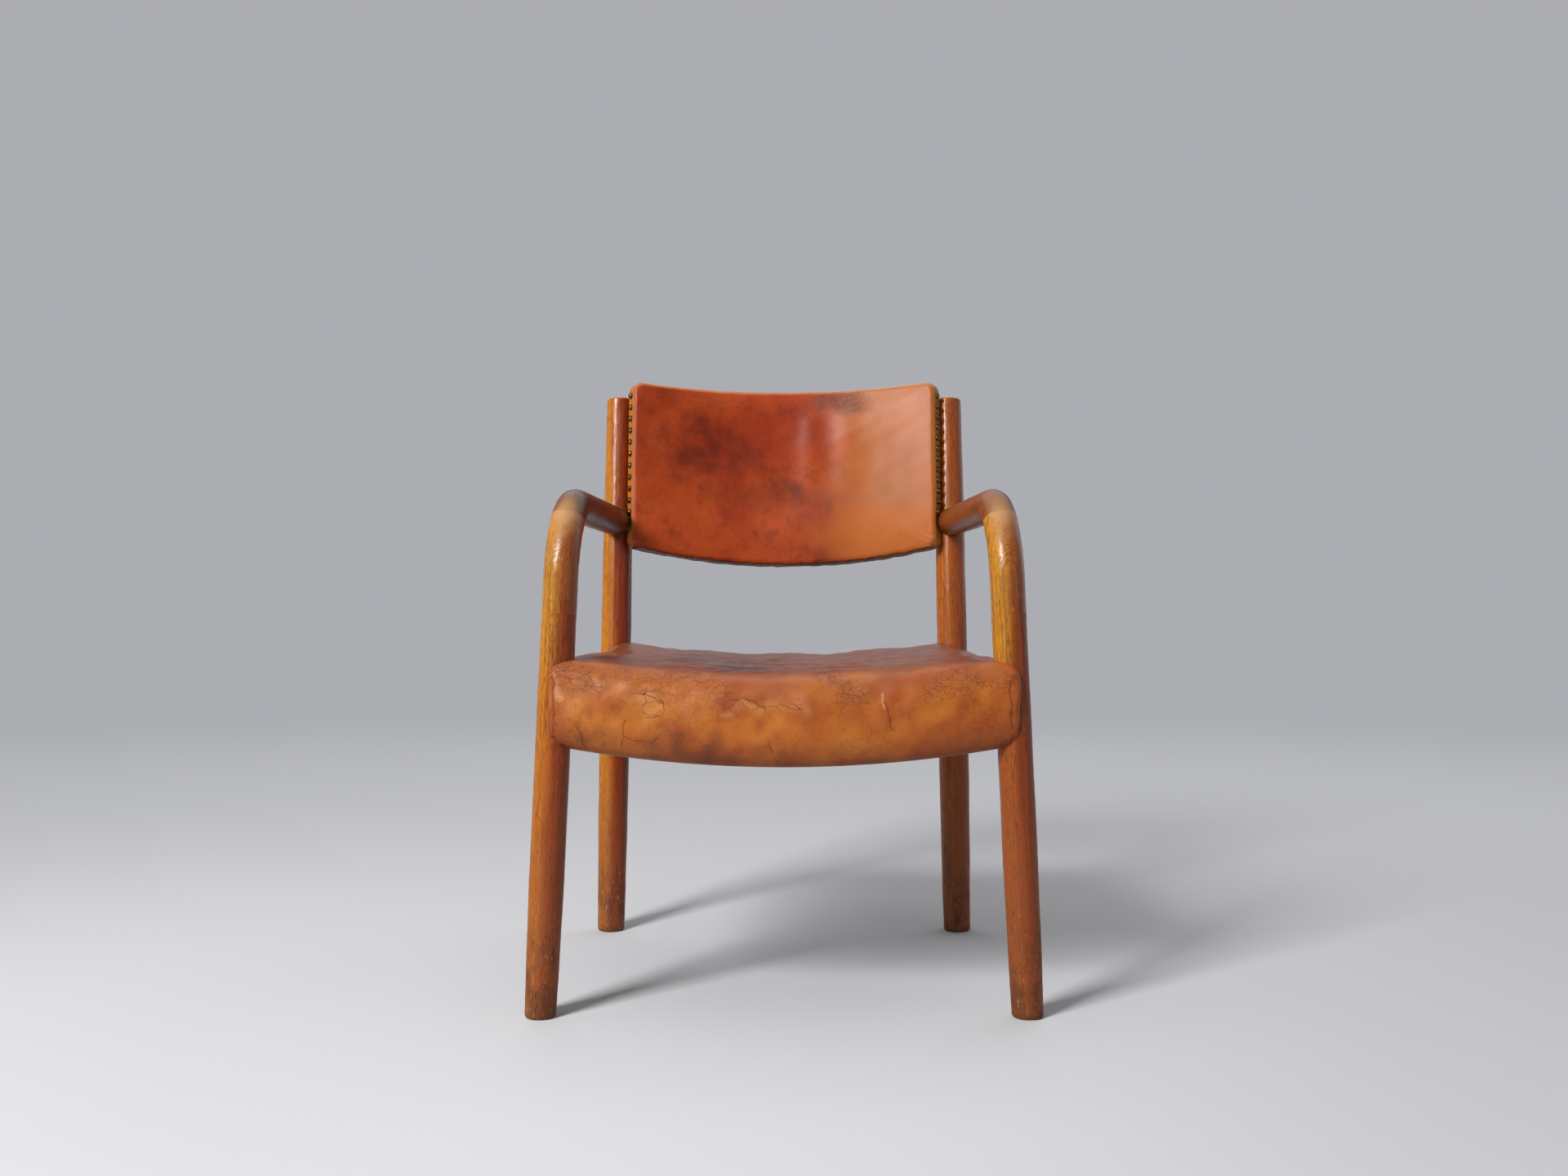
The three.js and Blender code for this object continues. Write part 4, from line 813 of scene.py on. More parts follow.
def back_flat(outline, section):
    """Length along the bend, height and depth of each point of the panel laid flat."""
    along, height = drawn_in(outline, section, BACK_MIDDLE, BACK_HALF_LENGTH, BACK_HALF_HEIGHT)
    return np.stack(np.broadcast_arrays(along, height, section[:, 1:2]), -1)


print("points round the back:", len(back_outline()), "rows of its section:", len(back_section()))


# %% Where the arms pass the panel and where the nails stand
def upright(point):
    """From the chair's frame to the back's upright frame, the other way round from leaned."""
    y, z = point[1] - POST_FOOT[1], point[2]
    cos, sin = math.cos(LEAN), math.sin(LEAN)
    return np.array([point[0], y * cos - z * sin, y * sin + z * cos])


END_MIDDLE = bent(BACK_HALF_LENGTH, 0.0, (BACK_REAR + BACK_FRONT) / 2)
arm_rear, arm_front = upright(ARM_END), upright(CORNER)
run, whole = arm_rear[1] - END_MIDDLE[1], arm_rear[1] - arm_front[1]
ARM_PASS = float((arm_rear + (arm_front - arm_rear) * run / whole)[2])
NAIL_COUNTS = {"left": 11, "right": 12}
NAIL_HEIGHTS = {
    name: np.linspace(BACK_TOP - 0.022, ARM_PASS + 0.015, count) for name, count in NAIL_COUNTS.items()
}
pitches = {name: round(float(heights[0] - heights[1]) * 1000, 1) for name, heights in NAIL_HEIGHTS.items()}
print("arm passes at", round(ARM_PASS, 4), "nail pitches mm:", pitches)


# %% The air in the back
BACK_AIR_CAP, BACK_CALMING = 0.0025, 8


def back_movement(fine_section):
    """The air's movement of the back on a coarse cloth. Its rear, ends and edges are tacked."""
    section = fine_section[::ALONG_STEP]
    flat = back_flat(back_outline(AROUND_STEP), section)
    rings = leaned(bent(*np.moveaxis(flat, -1, 0)))
    held = np.broadcast_to(section[:, 1:2] < BACK_FRONT - 0.004, rings.shape[:2]).copy()
    held |= np.abs(flat[..., 0]) > BACK_HALF_LENGTH - 0.012
    return spread_out(filled(rings, held, section[:, 2], cap=BACK_AIR_CAP, passes=BACK_CALMING))


back_moved = back_movement(back_section())
print("the air moves the back's skin by up to mm:", round(float(np.abs(back_moved).max()) * 1000, 2))

# %% Shape the back cushion
# Soft upright ridges of the front: place along the bend, half-width, height
BACK_RIDGES = ((0.043, 0.019, 0.0019), (0.106, 0.022, 0.0014), (-0.045, 0.030, 0.0008))


def back_shape():
    """The back's rings: ridges and lumps of the front, the bottom edge's waves, gathers at the low
    corners and a dimple at each nail, all laid flat, then bent, leaned and moved by the air."""
    flat = back_flat(back_outline(), back_section())
    along, height, depth = np.moveaxis(flat, -1, 0)
    is_front = ease(BACK_FRONT - 0.002, BACK_FRONT + 0.0005, depth)
    is_end = ease(BACK_HALF_LENGTH - 0.002, BACK_HALF_LENGTH - 0.0002, np.abs(along))
    is_bottom = ease(BACK_BOTTOM + 0.012, BACK_BOTTOM - 0.006, height) * (depth > BACK_REAR + 0.0005)
    depth += is_front * (0.0005 * lumps(flat, 0.13, 21) + 0.00007 * lumps(flat, 0.035, 22))
    upper = ease(0.650, 0.715, height) * ease(0.835, 0.785, height)
    for middle, width, rise in BACK_RIDGES:
        depth += is_front * upper * rise * np.exp(-((along - middle) / width) ** 2)
    waves = 0.00035 * lumps(flat * np.array([1, 0.3, 1]), 0.030, 23)
    height += is_bottom * (waves + 0.00015 * lumps(flat, 0.009, 24))
    from_corner = ((np.abs(along) - BACK_HALF_LENGTH + 0.006) / 0.013) ** 2
    from_corner = from_corner + ((height - BACK_BOTTOM - 0.008) / 0.014) ** 2
    gathers = 0.0008 * lumps(flat, 0.010, 25) * np.exp(-from_corner) * (depth > BACK_REAR + 0.001)
    depth += gathers
    height += 0.6 * gathers
    for name, side in SIDES.items():
        for nail in NAIL_HEIGHTS[name]:
            reach = ((height - nail) / 0.0055) ** 2 + ((depth - (BACK_REAR + BACK_FRONT) / 2) / 0.007) ** 2
            along -= side * (side * along > 0) * is_end * 0.0007 * np.exp(-reach)
    return leaned(bent(along, height, depth)) + back_moved


back_rings = back_shape()
print("rings of the back, points on each:", back_rings.shape[:2])


# %% Press the arms into the back
ARM_GAP, ARM_SHOULDER = 0.0006, 0.003
POST_GAP = 0.0003


def pressed_round(rings, side):
    """Moves what lies inside an arm out to its surface, with a soft shoulder round it: a distance d
    from the arm's axis becomes the smooth maximum of d and the arm's radius."""
    start, end = on_side(CORNER, side), on_side(ARM_END, side)
    way = unit(end - start)
    offset = rings - start
    length = offset @ way
    spoke = offset - length[..., None] * way
    distance = np.linalg.norm(spoke, axis=-1)
    wall = ARM_REAR_RADIUS + ARM_GAP
    pushed = wall + ARM_SHOULDER * np.log1p(np.exp((distance - wall) / ARM_SHOULDER))
    near = ease(wall + 4 * ARM_SHOULDER, wall + 2 * ARM_SHOULDER, distance)
    scale = 1 + near * (pushed / distance - 1)
    return start + length[..., None] * way + spoke * scale[..., None]


for side in SIDES.values():
    back_rings = pressed_round(back_rings, side)
back_cushion = lofted("leather_back", back_rings)
for side in SIDES.values():
    cut(back_cushion, rear_post("notch_cutter", side, grow=POST_GAP))
crisp(back_cushion, 45)
print("back triangles:", triangles(back_cushion))

# %% [markdown]
# ## Cloth under the seat and behind the back
# Upholstery is closed where nobody looks with a thin, plain, dark cloth, tacked inside the edge of the
# leather. Each is a thin closed skin: the same outline, drawn in, with a front and a back.

# %% Dust cloth
CLOTH_INSET = 0.0176
CLOTH_GAP = 0.001


def thin_section(low, high):
    """Out along the first face from the middle to the edge, and back along the second one."""
    out = np.linspace(0.01, 1, 22)
    return section_of((CLOTH_INSET, low, out), (CLOTH_INSET, high, out[::-1]))


def dust_cloth_rings():
    """The dust cloth: inside the turned-under leather, sagging a little between its tacks."""
    section = thin_section(0.0014, 0.0024)
    rings = seat_rings(seat_outline(2), section)
    sag = ease(1.0, 0.8, section[:, 2:])
    rings[..., 2] -= 0.0012 * sag * (1 + 0.3 * lumps(rings, 0.12, 41))
    return rings


dust_cloth = lofted("black_dust_cloth", dust_cloth_rings())
notched(dust_cloth, CLOTH_GAP)
print("dust cloth:", [round(length, 3) for length in dust_cloth.dimensions])


# %% Lining of the back
def lining_rings():
    """The lining of the back's rear: inside the turned-under leather, drawn nearly flat."""
    section = thin_section(-0.0019, -0.0006)
    flat = back_flat(back_outline(2), section)
    flat[..., 2] -= 0.0003 * lumps(flat, 0.09, 42) * ease(1.0, 0.85, section[:, 2:])
    return leaned(bent(*np.moveaxis(flat, -1, 0)))


rear_lining = lofted("plain_rear_lining", lining_rings())
crisp(rear_lining, 40)
print("rear lining:", [round(length, 3) for length in rear_lining.dimensions])

# %% [markdown]
# ## Antique nails
# Twenty-three domed nails hold the leather on the ends of the panel. A dome is a lathe shape as well: a
# profile of radius and height carried round an axis. It is set on the end's own slope.

# %% Domed nails
DOME_RADIUS, DOME_HEIGHT = 0.0049, 0.0046


def dome_profile():
    """Radius and height: a flat rim, a quarter ellipse over the dome, and the pin under it."""
    turn = np.linspace(0, np.pi / 2, 9)[:-1]
    head = np.stack([DOME_RADIUS * np.cos(turn), 0.0003 + DOME_HEIGHT * np.sin(turn)], -1)
    pin = [[0.0004, -0.009], [0.0009, -0.0075], [0.0009, -0.0002]]
    rim = [[DOME_RADIUS - 0.0002, 0.0], [DOME_RADIUS, 0.0002]]
    return np.vstack([pin, rim, head, [[0.0004, 0.00028 + DOME_HEIGHT]]])


def lathe(name, profile, at, way, around=24):
    """A profile of radius and height carried round an axis through a point."""
    way = unit(way)
    side_way = unit(np.cross(way, [0.3, 0.2, 1.0]))
    centres = at + profile[:, 1:] * way
    return lofted(name, swept(centres, np.tile(way, (len(profile), 1)), profile[:, 0], side_way, around))


def turned_way(way):
    """A direction leaned back as the panel is."""
    return leaned(way) - leaned(np.zeros(3))


SUNK_IN = 0.0003
nails = {}
for name, side in SIDES.items():
    way = turned_way(np.array([side * math.cos(BACK_ANGLE), -math.sin(BACK_ANGLE), 0.0]))
    for number, height in enumerate(NAIL_HEIGHTS[name], 1):
        at = leaned(np.array([side * END_MIDDLE[0], END_MIDDLE[1], height])) - SUNK_IN * way
        nails[f"nail_{name}_{number:02d}"] = lathe(f"dome_{name}_{number:02d}", dome_profile(), at, way)
middles = np.array([np.mean(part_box(node_name), 0) for node_name in nails])
made = np.array([np.mean([list(corner) for corner in piece.bound_box], 0) for piece in nails.values()])
furthest = float(np.abs(middles - made).max()) * 1000
print("nails:", len(nails), "furthest from the CAD's, mm:", round(furthest, 2))

# %% [markdown]
# ## Screws behind the posts
# Two screws run through each post into the edge strips of the panel. The CAD model has them with eight
# sides. The line of each is read back from its own mesh. A smooth head with a slot is turned on that
# line, and a hole for it is cut into the post. No two slots end up at the same angle on a real chair.

# %% Slotted screws
SCREW_HEAD_RADIUS, SCREW_RADIUS, SCREW_LENGTH = 0.0045, 0.00225, 0.046
SCREW_SHANK = [[SCREW_RADIUS, 0.0035], [SCREW_RADIUS, 0.0415], [0.0003, SCREW_LENGTH]]
SCREW_HOLE = np.array([[0.00485, -0.008], [0.00485, 0.0001], [0.0026, 0.0036], [0.0026, 0.012]])
SLOT_LOW, SLOT_HIGH = [-0.006, -0.00055, -0.003], [0.006, 0.00055, 0.0006]
SLOT_ANGLES = {"left_low": 0.3, "left_high": 1.1, "right_low": 2.4, "right_high": 1.9}


def screw_line(node):
    """The middle of a CAD screw's head and the way to its tip. The tip is the point furthest forward,
    and the head is what lies a whole screw's length away from it."""
    points = np.unique(points_of(node.data).round(6), axis=0)
    tip = points[points[:, 1].argmin()]
    head = points[np.linalg.norm(points - tip, axis=1) > SCREW_LENGTH - 0.0005].mean(0)
    return head, unit(tip - head)


def slot_cutter(head, way, angle):
    """A thin box across the head: its long side is cos a * u + sin a * v, square to the screw."""
    u = unit(np.cross(way, [0, 0, 1.0]))
    long_side = math.cos(angle) * u + math.sin(angle) * np.cross(way, u)
    axes = np.stack([long_side, np.cross(way, long_side), way])
    return mesh_piece("slot_cutter", *box_faces(SLOT_LOW, SLOT_HIGH, head, axes))


turn = np.linspace(0.05, np.pi / 2, 8)
low_dome = np.stack([SCREW_HEAD_RADIUS * np.sin(turn), -0.0009 * np.cos(turn)], -1)
screws = {}
for place, angle in SLOT_ANGLES.items():
    head, way = screw_line(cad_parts[f"back_screw_{place}"])
    screw = lathe(f"slotted_screw_{place}", np.vstack([low_dome, SCREW_SHANK]), head, way, 32)
    cut(screw, slot_cutter(head, way, angle))
    crisp(screw)
    cut(posts[place.split("_")[0]], lathe("screw_hole", SCREW_HOLE, head, way, 32))
    screws[f"back_screw_{place}"] = screw
for post in posts.values():
    crisp(post)
print("screws:", {name: [round(x, 3) for x in piece.bound_box[0]] for name, piece in screws.items()})

# %% [markdown]
# ## Building a finish from nodes
# A finish is a small program: each node takes numbers or colours and gives new ones. The helper below
# adds one node per call and links what it is given, so a recipe reads from top to bottom. All patterns
# read Object coordinates, which here are metres in the chair's own frame.

# %% A helper for recipes
def srgb(code):
    """A colour written as six hexadecimal digits, as the linear numbers that a shader works with."""
    parts = np.array([int(code[i:i + 2], 16) / 255 for i in (0, 2, 4)])
    linear = np.where(parts <= 0.04045, parts / 12.92, ((parts + 0.055) / 1.055) ** 2.4)
    return (*linear.tolist(), 1.0)


class Recipe:
    """A material being written. Each method adds a node and returns its output."""

    def __init__(self, name):
        self.material = bpy.data.materials.new(name)
        self.material.use_nodes = True
        self.nodes, self.links = self.material.node_tree.nodes, self.material.node_tree.links
        self.nodes.clear()
        self.place = self.add("TexCoord").outputs["Object"]

    def add(self, kind, inputs=None, **settings):
        """A node of this kind, with its settings made and its inputs set or linked."""
        node = self.nodes.new("ShaderNode" + kind)
        for key, value in settings.items():
            setattr(node, key, value)
        for key, value in (inputs or {}).items():
            if isinstance(value, bpy.types.NodeSocket):
                self.links.new(value, node.inputs[key])
            else:
                node.inputs[key].default_value = value
        return node

    def math(self, operation, *values, clamp=False):
        """Arithmetic on one, two or three numbers."""
        inputs = dict(enumerate(values))
        return self.add("Math", inputs, operation=operation, use_clamp=clamp).outputs[0]

    def vector(self, operation, *values, output="Vector", scale=None):
        """Arithmetic on vectors."""
        inputs = dict(enumerate(values))
        if scale is not None:
            inputs["Scale"] = scale
        return self.add("VectorMath", inputs, operation=operation).outputs[output]

    def moved(self, vector, location=(0, 0, 0), rotation=(0, 0, 0), scale=(1, 1, 1)):
        """The vector scaled, then turned, then moved."""
        inputs = {"Vector": vector, "Location": location, "Rotation": rotation, "Scale": scale}
        return self.add("Mapping", inputs).outputs[0]

    def noise(self, vector, scale, detail=3.0, roughness=0.5, seed=0.0, output=0):
        """Cloudy noise around 0.5, `scale` lumps to the metre."""
        inputs = {"Vector": vector, "W": seed, "Scale": scale, "Detail": detail, "Roughness": roughness}
        return self.add("TexNoise", inputs, noise_dimensions="4D").outputs[output]

    def cells(self, vector, scale, feature="F1", output="Distance"):
        """Distance or colour in a pattern of cells, `scale` cells to the metre."""
        return self.add("TexVoronoi", {"Vector": vector, "Scale": scale}, feature=feature).outputs[output]

    def ease(self, value, low, high, start=0.0, end=1.0):
        """From start at low to end at high in a smooth step."""
        inputs = {"Value": value, "From Min": low, "From Max": high, "To Min": start, "To Max": end}
        return self.add("MapRange", inputs, interpolation_type="SMOOTHSTEP").outputs[0]

    def mix(self, share, first, second):
        """Two colours mixed by a share. A Mix node's colours are its sockets 6 and 7, and 2 comes out."""
        return self.add("Mix", {0: share, 6: first, 7: second}, data_type="RGBA").outputs[2]

    def tinted(self, colour, share, strength, code):
        """A colour that goes over to another one, by a share times a strength."""
        return self.mix(self.math("MULTIPLY", share, strength), colour, srgb(code))

    def axes(self, vector):
        """The three numbers of a vector."""
        return self.add("SeparateXYZ", {"Vector": vector}).outputs

    def wobbled(self, vector, scale, amount, seed=0.0, detail=2.0):
        """A vector pushed about by coloured noise, up to about half of `amount` metres."""
        noise = self.noise(vector, scale, detail, seed=seed, output=1)
        push = self.vector("SUBTRACT", noise, (0.5, 0.5, 0.5))
        return self.vector("ADD", vector, self.vector("SCALE", push, scale=amount))

    def spot(self, vector, centre, size, soft=0.5):
        """1 inside a soft-edged ellipsoid of three half-sizes about a point, and 0 outside it."""
        offset = self.vector("DIVIDE", self.vector("SUBTRACT", vector, centre), size)
        return self.ease(self.vector("LENGTH", offset, output="Value"), 1.0 + soft, 1.0 - soft)

    def stroke(self, vector, start, end, width):
        """1 on a straight stroke from start to end, and 0 further than `width` from it. The nearest
        point of the stroke lies at the share (p - start) . way / way . way, clipped to 0 to 1."""
        way = Vector(end) - Vector(start)
        offset = self.vector("SUBTRACT", vector, start)
        share = self.vector("DOT_PRODUCT", offset, way / way.length_squared, output="Value")
        share = self.math("ADD", share, 0.0, clamp=True)
        nearest = self.vector("SCALE", way, scale=share)
        away = self.vector("LENGTH", self.vector("SUBTRACT", offset, nearest), output="Value")
        return self.ease(away, width, 0.25 * width)

    def mark(self, name):
        """The value that the mesh's points store under a name."""
        return self.add("Attribute", attribute_name=name).outputs["Fac"]

    def most(self, values):
        """The largest of several numbers."""
        largest = values[0]
        for value in values[1:]:
            largest = self.math("MAXIMUM", largest, value)
        return largest

    def bump(self, height, distance, strength=1.0):
        """A normal tilted by a height that is `distance` metres at one."""
        return self.add("Bump", {"Height": height, "Distance": distance, "Strength": strength}).outputs[0]

    def finish(self, **inputs):
        """Ends the recipe with a surface shader and returns the material."""
        named = {key.replace("_", " "): value for key, value in inputs.items()}
        shader = self.add("BsdfPrincipled", named)
        output = self.add("OutputMaterial")
        self.links.new(shader.outputs[0], output.inputs[0])
        return self.material


def dress(piece, material):
    """Gives a piece one material."""
    piece.data.materials.clear()
    piece.data.materials.append(material)


print("the code 808080 as linear light:", [round(part, 3) for part in srgb("808080")])

# %% [markdown]
# ## Oak
# Oak is ring-porous: each year starts with a row of wide pores and ends in dense wood. So the wood is
# drawn as a solid: rings are distances from the middle of the tree, pores are long thin specks along
# the grain, and the turned surface simply cuts through them. That gives straight lines on a leg and
# nested arches on the elbow, where the surface curves away from the grain, without any drawing.

# %% The tree around a piece
def wood_grain(r, grain, heart, pitch, waviness, seed):
    """Late wood, pores, streaks and clouds of a tree whose middle runs through `heart` in the direction
    `grain`, with a ring every `pitch` metres. A ring is the fraction of distance / pitch: early wood at
    its start is porous, and late wood at its end is dense."""
    turn = Vector(grain).rotation_difference(Vector((0, 0, 1))).to_euler()
    centred = -(turn.to_matrix() @ Vector(heart))
    local = r.moved(r.place, location=centred, rotation=turn)
    slow = r.moved(local, scale=(1, 1, 0.14))
    push = r.vector("SUBTRACT", r.noise(slow, 20, 2, seed=seed, output=1), (0.5, 0.5, 0.5))
    x, y, _ = r.axes(r.vector("ADD", local, r.vector("SCALE", push, scale=waviness)))
    distance = r.math("SQRT", r.math("ADD", r.math("MULTIPLY", x, x), r.math("MULTIPLY", y, y)))
    year = r.math("FRACT", r.math("DIVIDE", distance, pitch))
    late = r.ease(year, 0.35, 0.98)
    early = r.math("SUBTRACT", 1.0, r.ease(year, 0.16, 0.5))
    streak = r.noise(r.moved(local, scale=(1, 1, 0.03)), 190, 3, 0.6, seed + 2)
    cloud = r.noise(r.moved(local, scale=(1, 1, 0.35)), 22, 4, 0.6, seed + 3)
    thin = r.ease(r.noise(r.moved(local, scale=(1, 1, 0.07)), 1100, 1.5, 0.6, seed + 1), 0.545, 0.65)
    wide = r.ease(r.noise(r.moved(local, scale=(1, 1, 0.10)), 840, 1.0, 0.5, seed + 7), 0.54, 0.63)
    pores = r.math("MULTIPLY", wide, r.math("MULTIPLY_ADD", early, 0.85, 0.12))
    pores = r.math("MAXIMUM", pores, r.math("MULTIPLY", thin, r.math("MULTIPLY_ADD", early, 0.35, 0.5)))
    return late, pores, streak, cloud


# %% Feet that have stood on floors
def old_foot(r, colour, rough, height, share, seed):
    """Towards the floor the wood is duller, then dirty, chipped and scored, with a dark rim."""
    spots = r.noise(r.moved(r.place, scale=(1, 1, 0.45)), 60, 5, 0.65, seed + 5)
    dull = r.ease(height, 0.34, 0.10)
    colour = r.tinted(colour, dull, share, "8A4616")
    rough = r.math("MULTIPLY_ADD", dull, 0.16, rough)
    dirt = r.math("MULTIPLY", r.ease(height, 0.17, 0.0), r.ease(spots, 0.38, 0.62))
    rim = r.math("MAXIMUM", dirt, r.ease(height, 0.016, 0.0, 0.0, 0.9))
    colour = r.tinted(colour, rim, 0.66, "35261A")
    scratch = r.moved(r.place, rotation=(0.4, 0.3, 0.0), scale=(1, 1, 0.22))
    scratch = r.noise(scratch, 560, 2, 0.5, seed + 6)
    chips = r.math("MULTIPLY", r.ease(scratch, 0.63, 0.70), r.ease(height, 0.20, 0.02))
    colour = r.tinted(colour, chips, 0.6, "D2A56C")
    scored = r.moved(r.place, rotation=(0.2, -0.7, 0.0), scale=(1, 1, 0.12))
    scored = r.noise(scored, 330, 1, 0.5, seed + 8)
    colour = r.tinted(colour, r.ease(scored, 0.69, 0.73), 0.6, "2A1206")
    return colour, r.math("MULTIPLY_ADD", rim, 0.22, rough)


# %% Oak as a solid
# The way the lamp on the left shines from: wood facing it is painted gold as painted light, and wood turned
# away brown as painted shade
PAINTED_LIGHT_SIDE = (-0.95, -0.28, 0.10)


def oak(name, grain, heart, gold, brown, seed, pitch=0.0024, waviness=0.010, rings=0.45,
        dullness=0.30, feet=0.0, gold_low=None, gloss=0.36):
    """Oak cut from a tree whose middle runs through `heart` in the direction `grain`. As painted light and
    shade, it is `gold` where it faces the lamp on the left, `gold_low` there below the seat, and `brown`
    where it turns away; it is also paler where it faces the rear.
    `pitch` is the width of a year, `waviness` how far the rings sway, and `rings` how dark they are.
    `dullness` is the roughness of clean wood, `gloss` the strength of what it mirrors, and `feet` how
    dull its foot has become."""
    r = Recipe(name)
    height = r.axes(r.place)[2]
    normal_here = r.add("NewGeometry").outputs["Normal"]
    late, pores, streak, cloud = wood_grain(r, grain, heart, pitch, waviness, seed)

    # Painted light and shade: gold where the wood faces the lamp, brown where it turns away, paler where it
    # faces the rear; clouds and streaks break it up
    painted_lit_side = r.vector("DOT_PRODUCT", normal_here, PAINTED_LIGHT_SIDE, output="Value")
    painted_lit_side = r.math("MULTIPLY_ADD", cloud, 0.8, r.math("ADD", painted_lit_side, -1.2))
    painted_lit_side = r.math("MULTIPLY_ADD", streak, 1.6, painted_lit_side)
    pale = r.mix(r.ease(height, 0.46, 0.30), srgb(gold), srgb(gold_low or gold))
    rear = r.mix(r.ease(r.axes(normal_here)[1], 0.25, 0.95, 0.0, 0.7), srgb(brown), srgb("9C581E"))
    colour = r.mix(r.ease(painted_lit_side, -0.04, 0.92), rear, pale)
    colour = r.tinted(colour, late, rings, "5A2408")
    colour = r.mix(r.ease(streak, 0.50, 0.64, 0.0, 0.36), colour, srgb("4E1C06"))
    colour = r.mix(r.ease(cloud, 0.52, 0.78, 0.0, 0.40), colour, srgb("4A1C08"))
    colour = r.tinted(colour, pores, 0.80, "34160A")

    facing = r.vector("DOT_PRODUCT", normal_here, tuple(unit(grain)), output="Value")
    end_grain = r.ease(r.math("ABSOLUTE", facing), 0.25, 0.80)
    sawn = r.tinted(srgb("D6A670"), late, 0.8, "8A5630")
    colour = r.mix(r.math("MULTIPLY", end_grain, 0.8), colour, sawn)
    rough = r.math("MULTIPLY_ADD", cloud, 0.22, dullness - 0.10)
    rough = r.math("MULTIPLY_ADD", end_grain, 0.24, r.math("MULTIPLY_ADD", pores, 0.2, rough))
    if feet:
        colour, rough = old_foot(r, colour, rough, height, feet, seed)
    depth = r.math("MULTIPLY_ADD", pores, -1.0, r.math("MULTIPLY", late, 0.25))
    normal = r.bump(depth, 0.00012, 0.8)
    return r.finish(Base_Color=colour, Roughness=rough, Normal=normal, Specular_IOR_Level=gloss)


# %% Dress legs, elbows, posts and arms
# Painted light and shade for each side: gold for wood facing the lamp, brown for wood turned away
LEG_GOLD_LOW = {"left": "C47010", "right": "A4500C"}
POST_GOLD = {"left": "D28014", "right": "C06818"}
POST_BROWN = {"left": "8C2E06", "right": "A24C14"}
ARM_GOLD = {"left": "763610", "right": "8A4410"}
ARM_BROWN = {"left": "481A04", "right": "682A08"}
ARM_LATE_WOOD = {"left": 0.62, "right": 0.34}
ELBOW_YEAR, LEG_YEAR = 0.00175, 0.0021
for name, side in SIDES.items():
    seed = 10 * (side + 2)
    leg_way, post_way, arm_way = (
        unit(on_side(way, side)) for way in (CORNER - LEG_FOOT, POST_TOP - POST_FOOT, ARM_END - CORNER))
    heart = on_side([0.262, -0.160, 0.6], side)
    dress(elbows[name], oak(
        f"elbow_oak_{name}", leg_way, heart, "CE8A1C", "984C12", seed, pitch=ELBOW_YEAR, waviness=0.004,
        rings=0.42, dullness=0.25, gloss=0.48))
    heart = heart + np.array([0.0007, 0.0, 0.0])
    dress(legs[name], oak(
        f"leg_oak_{name}", leg_way, heart, "CA861A", "923E0A", seed, pitch=LEG_YEAR, waviness=0.006,
        rings=0.42, feet=0.45, gold_low=LEG_GOLD_LOW[name]))
    heart = on_side([0.22, 0.10, 0], side)
    dress(posts[name], oak(
        f"post_oak_{name}", post_way, heart, POST_GOLD[name], POST_BROWN[name], seed + 3,
        rings=0.40, dullness=0.19, feet=0.5))
    heart = on_side([0.20, 0, 0.70], side)
    dress(arms[name], oak(
        f"arm_oak_{name}", arm_way, heart, ARM_GOLD[name], ARM_BROWN[name], seed + 2,
        rings=ARM_LATE_WOOD[name], gloss=0.22))
print("years across an elbow and a leg:", [round(2 * LEG_RADIUS / year) for year in (ELBOW_YEAR, LEG_YEAR)])

# %% [markdown]
# ## Leather
# Natural leather darkens unevenly where it is touched and stays paler where it isn't. Its surface has a
# fine pebble, and old seat leather cracks in branching lines. Clouds of noise in three sizes give the
# colour, small cells give the pebble, and thin borders of pushed-about cells give the fine cracks. The
# few large marks that make this chair what it is are listed one by one: soft spots for stains, and short
# straight strokes on a pushed-about plane for the long cracks. Some spots, strokes and masks paint light
# and shade instead: shade low down, in folds and between ridges, light on the back's right side, and
# sheen and highlights on edges, the crest and a corner.

# %% What both hides share
def hide_clouds(r, light, middle, dark, seed):
    """Colour clouds in three sizes, from a hide's pale, usual and handled colours."""
    broad = r.noise(r.place, 7, 3, 0.55, seed)
    patch = r.noise(r.place, 27, 5, 0.62, seed + 1)
    fine = r.noise(r.place, 210, 4, 0.7, seed + 2)
    colour = r.mix(r.ease(broad, 0.36, 0.64), srgb(light), srgb(middle))
    colour = r.mix(r.ease(patch, 0.46, 0.74, 0.0, 0.6), colour, srgb(dark))
    colour = r.mix(r.ease(fine, 0.48, 0.72, 0.0, 0.38), colour, srgb(dark))
    return colour, patch, fine


def scratched(r, seed):
    """Fine short scratches: noise drawn out along a slant, of which only the peaks count."""
    slanted = r.moved(r.place, rotation=(0.3, 0.5, 0.2), scale=(1, 1, 0.12))
    return r.ease(r.noise(slanted, 330, 2, 0.5, seed), 0.66, 0.72)


# %% The hide of the back
def on_panel(along, height):
    """The place of a point of the back's front face, given on the panel laid flat."""
    return tuple(leaned(bent(along, height, BACK_FRONT)).tolist())


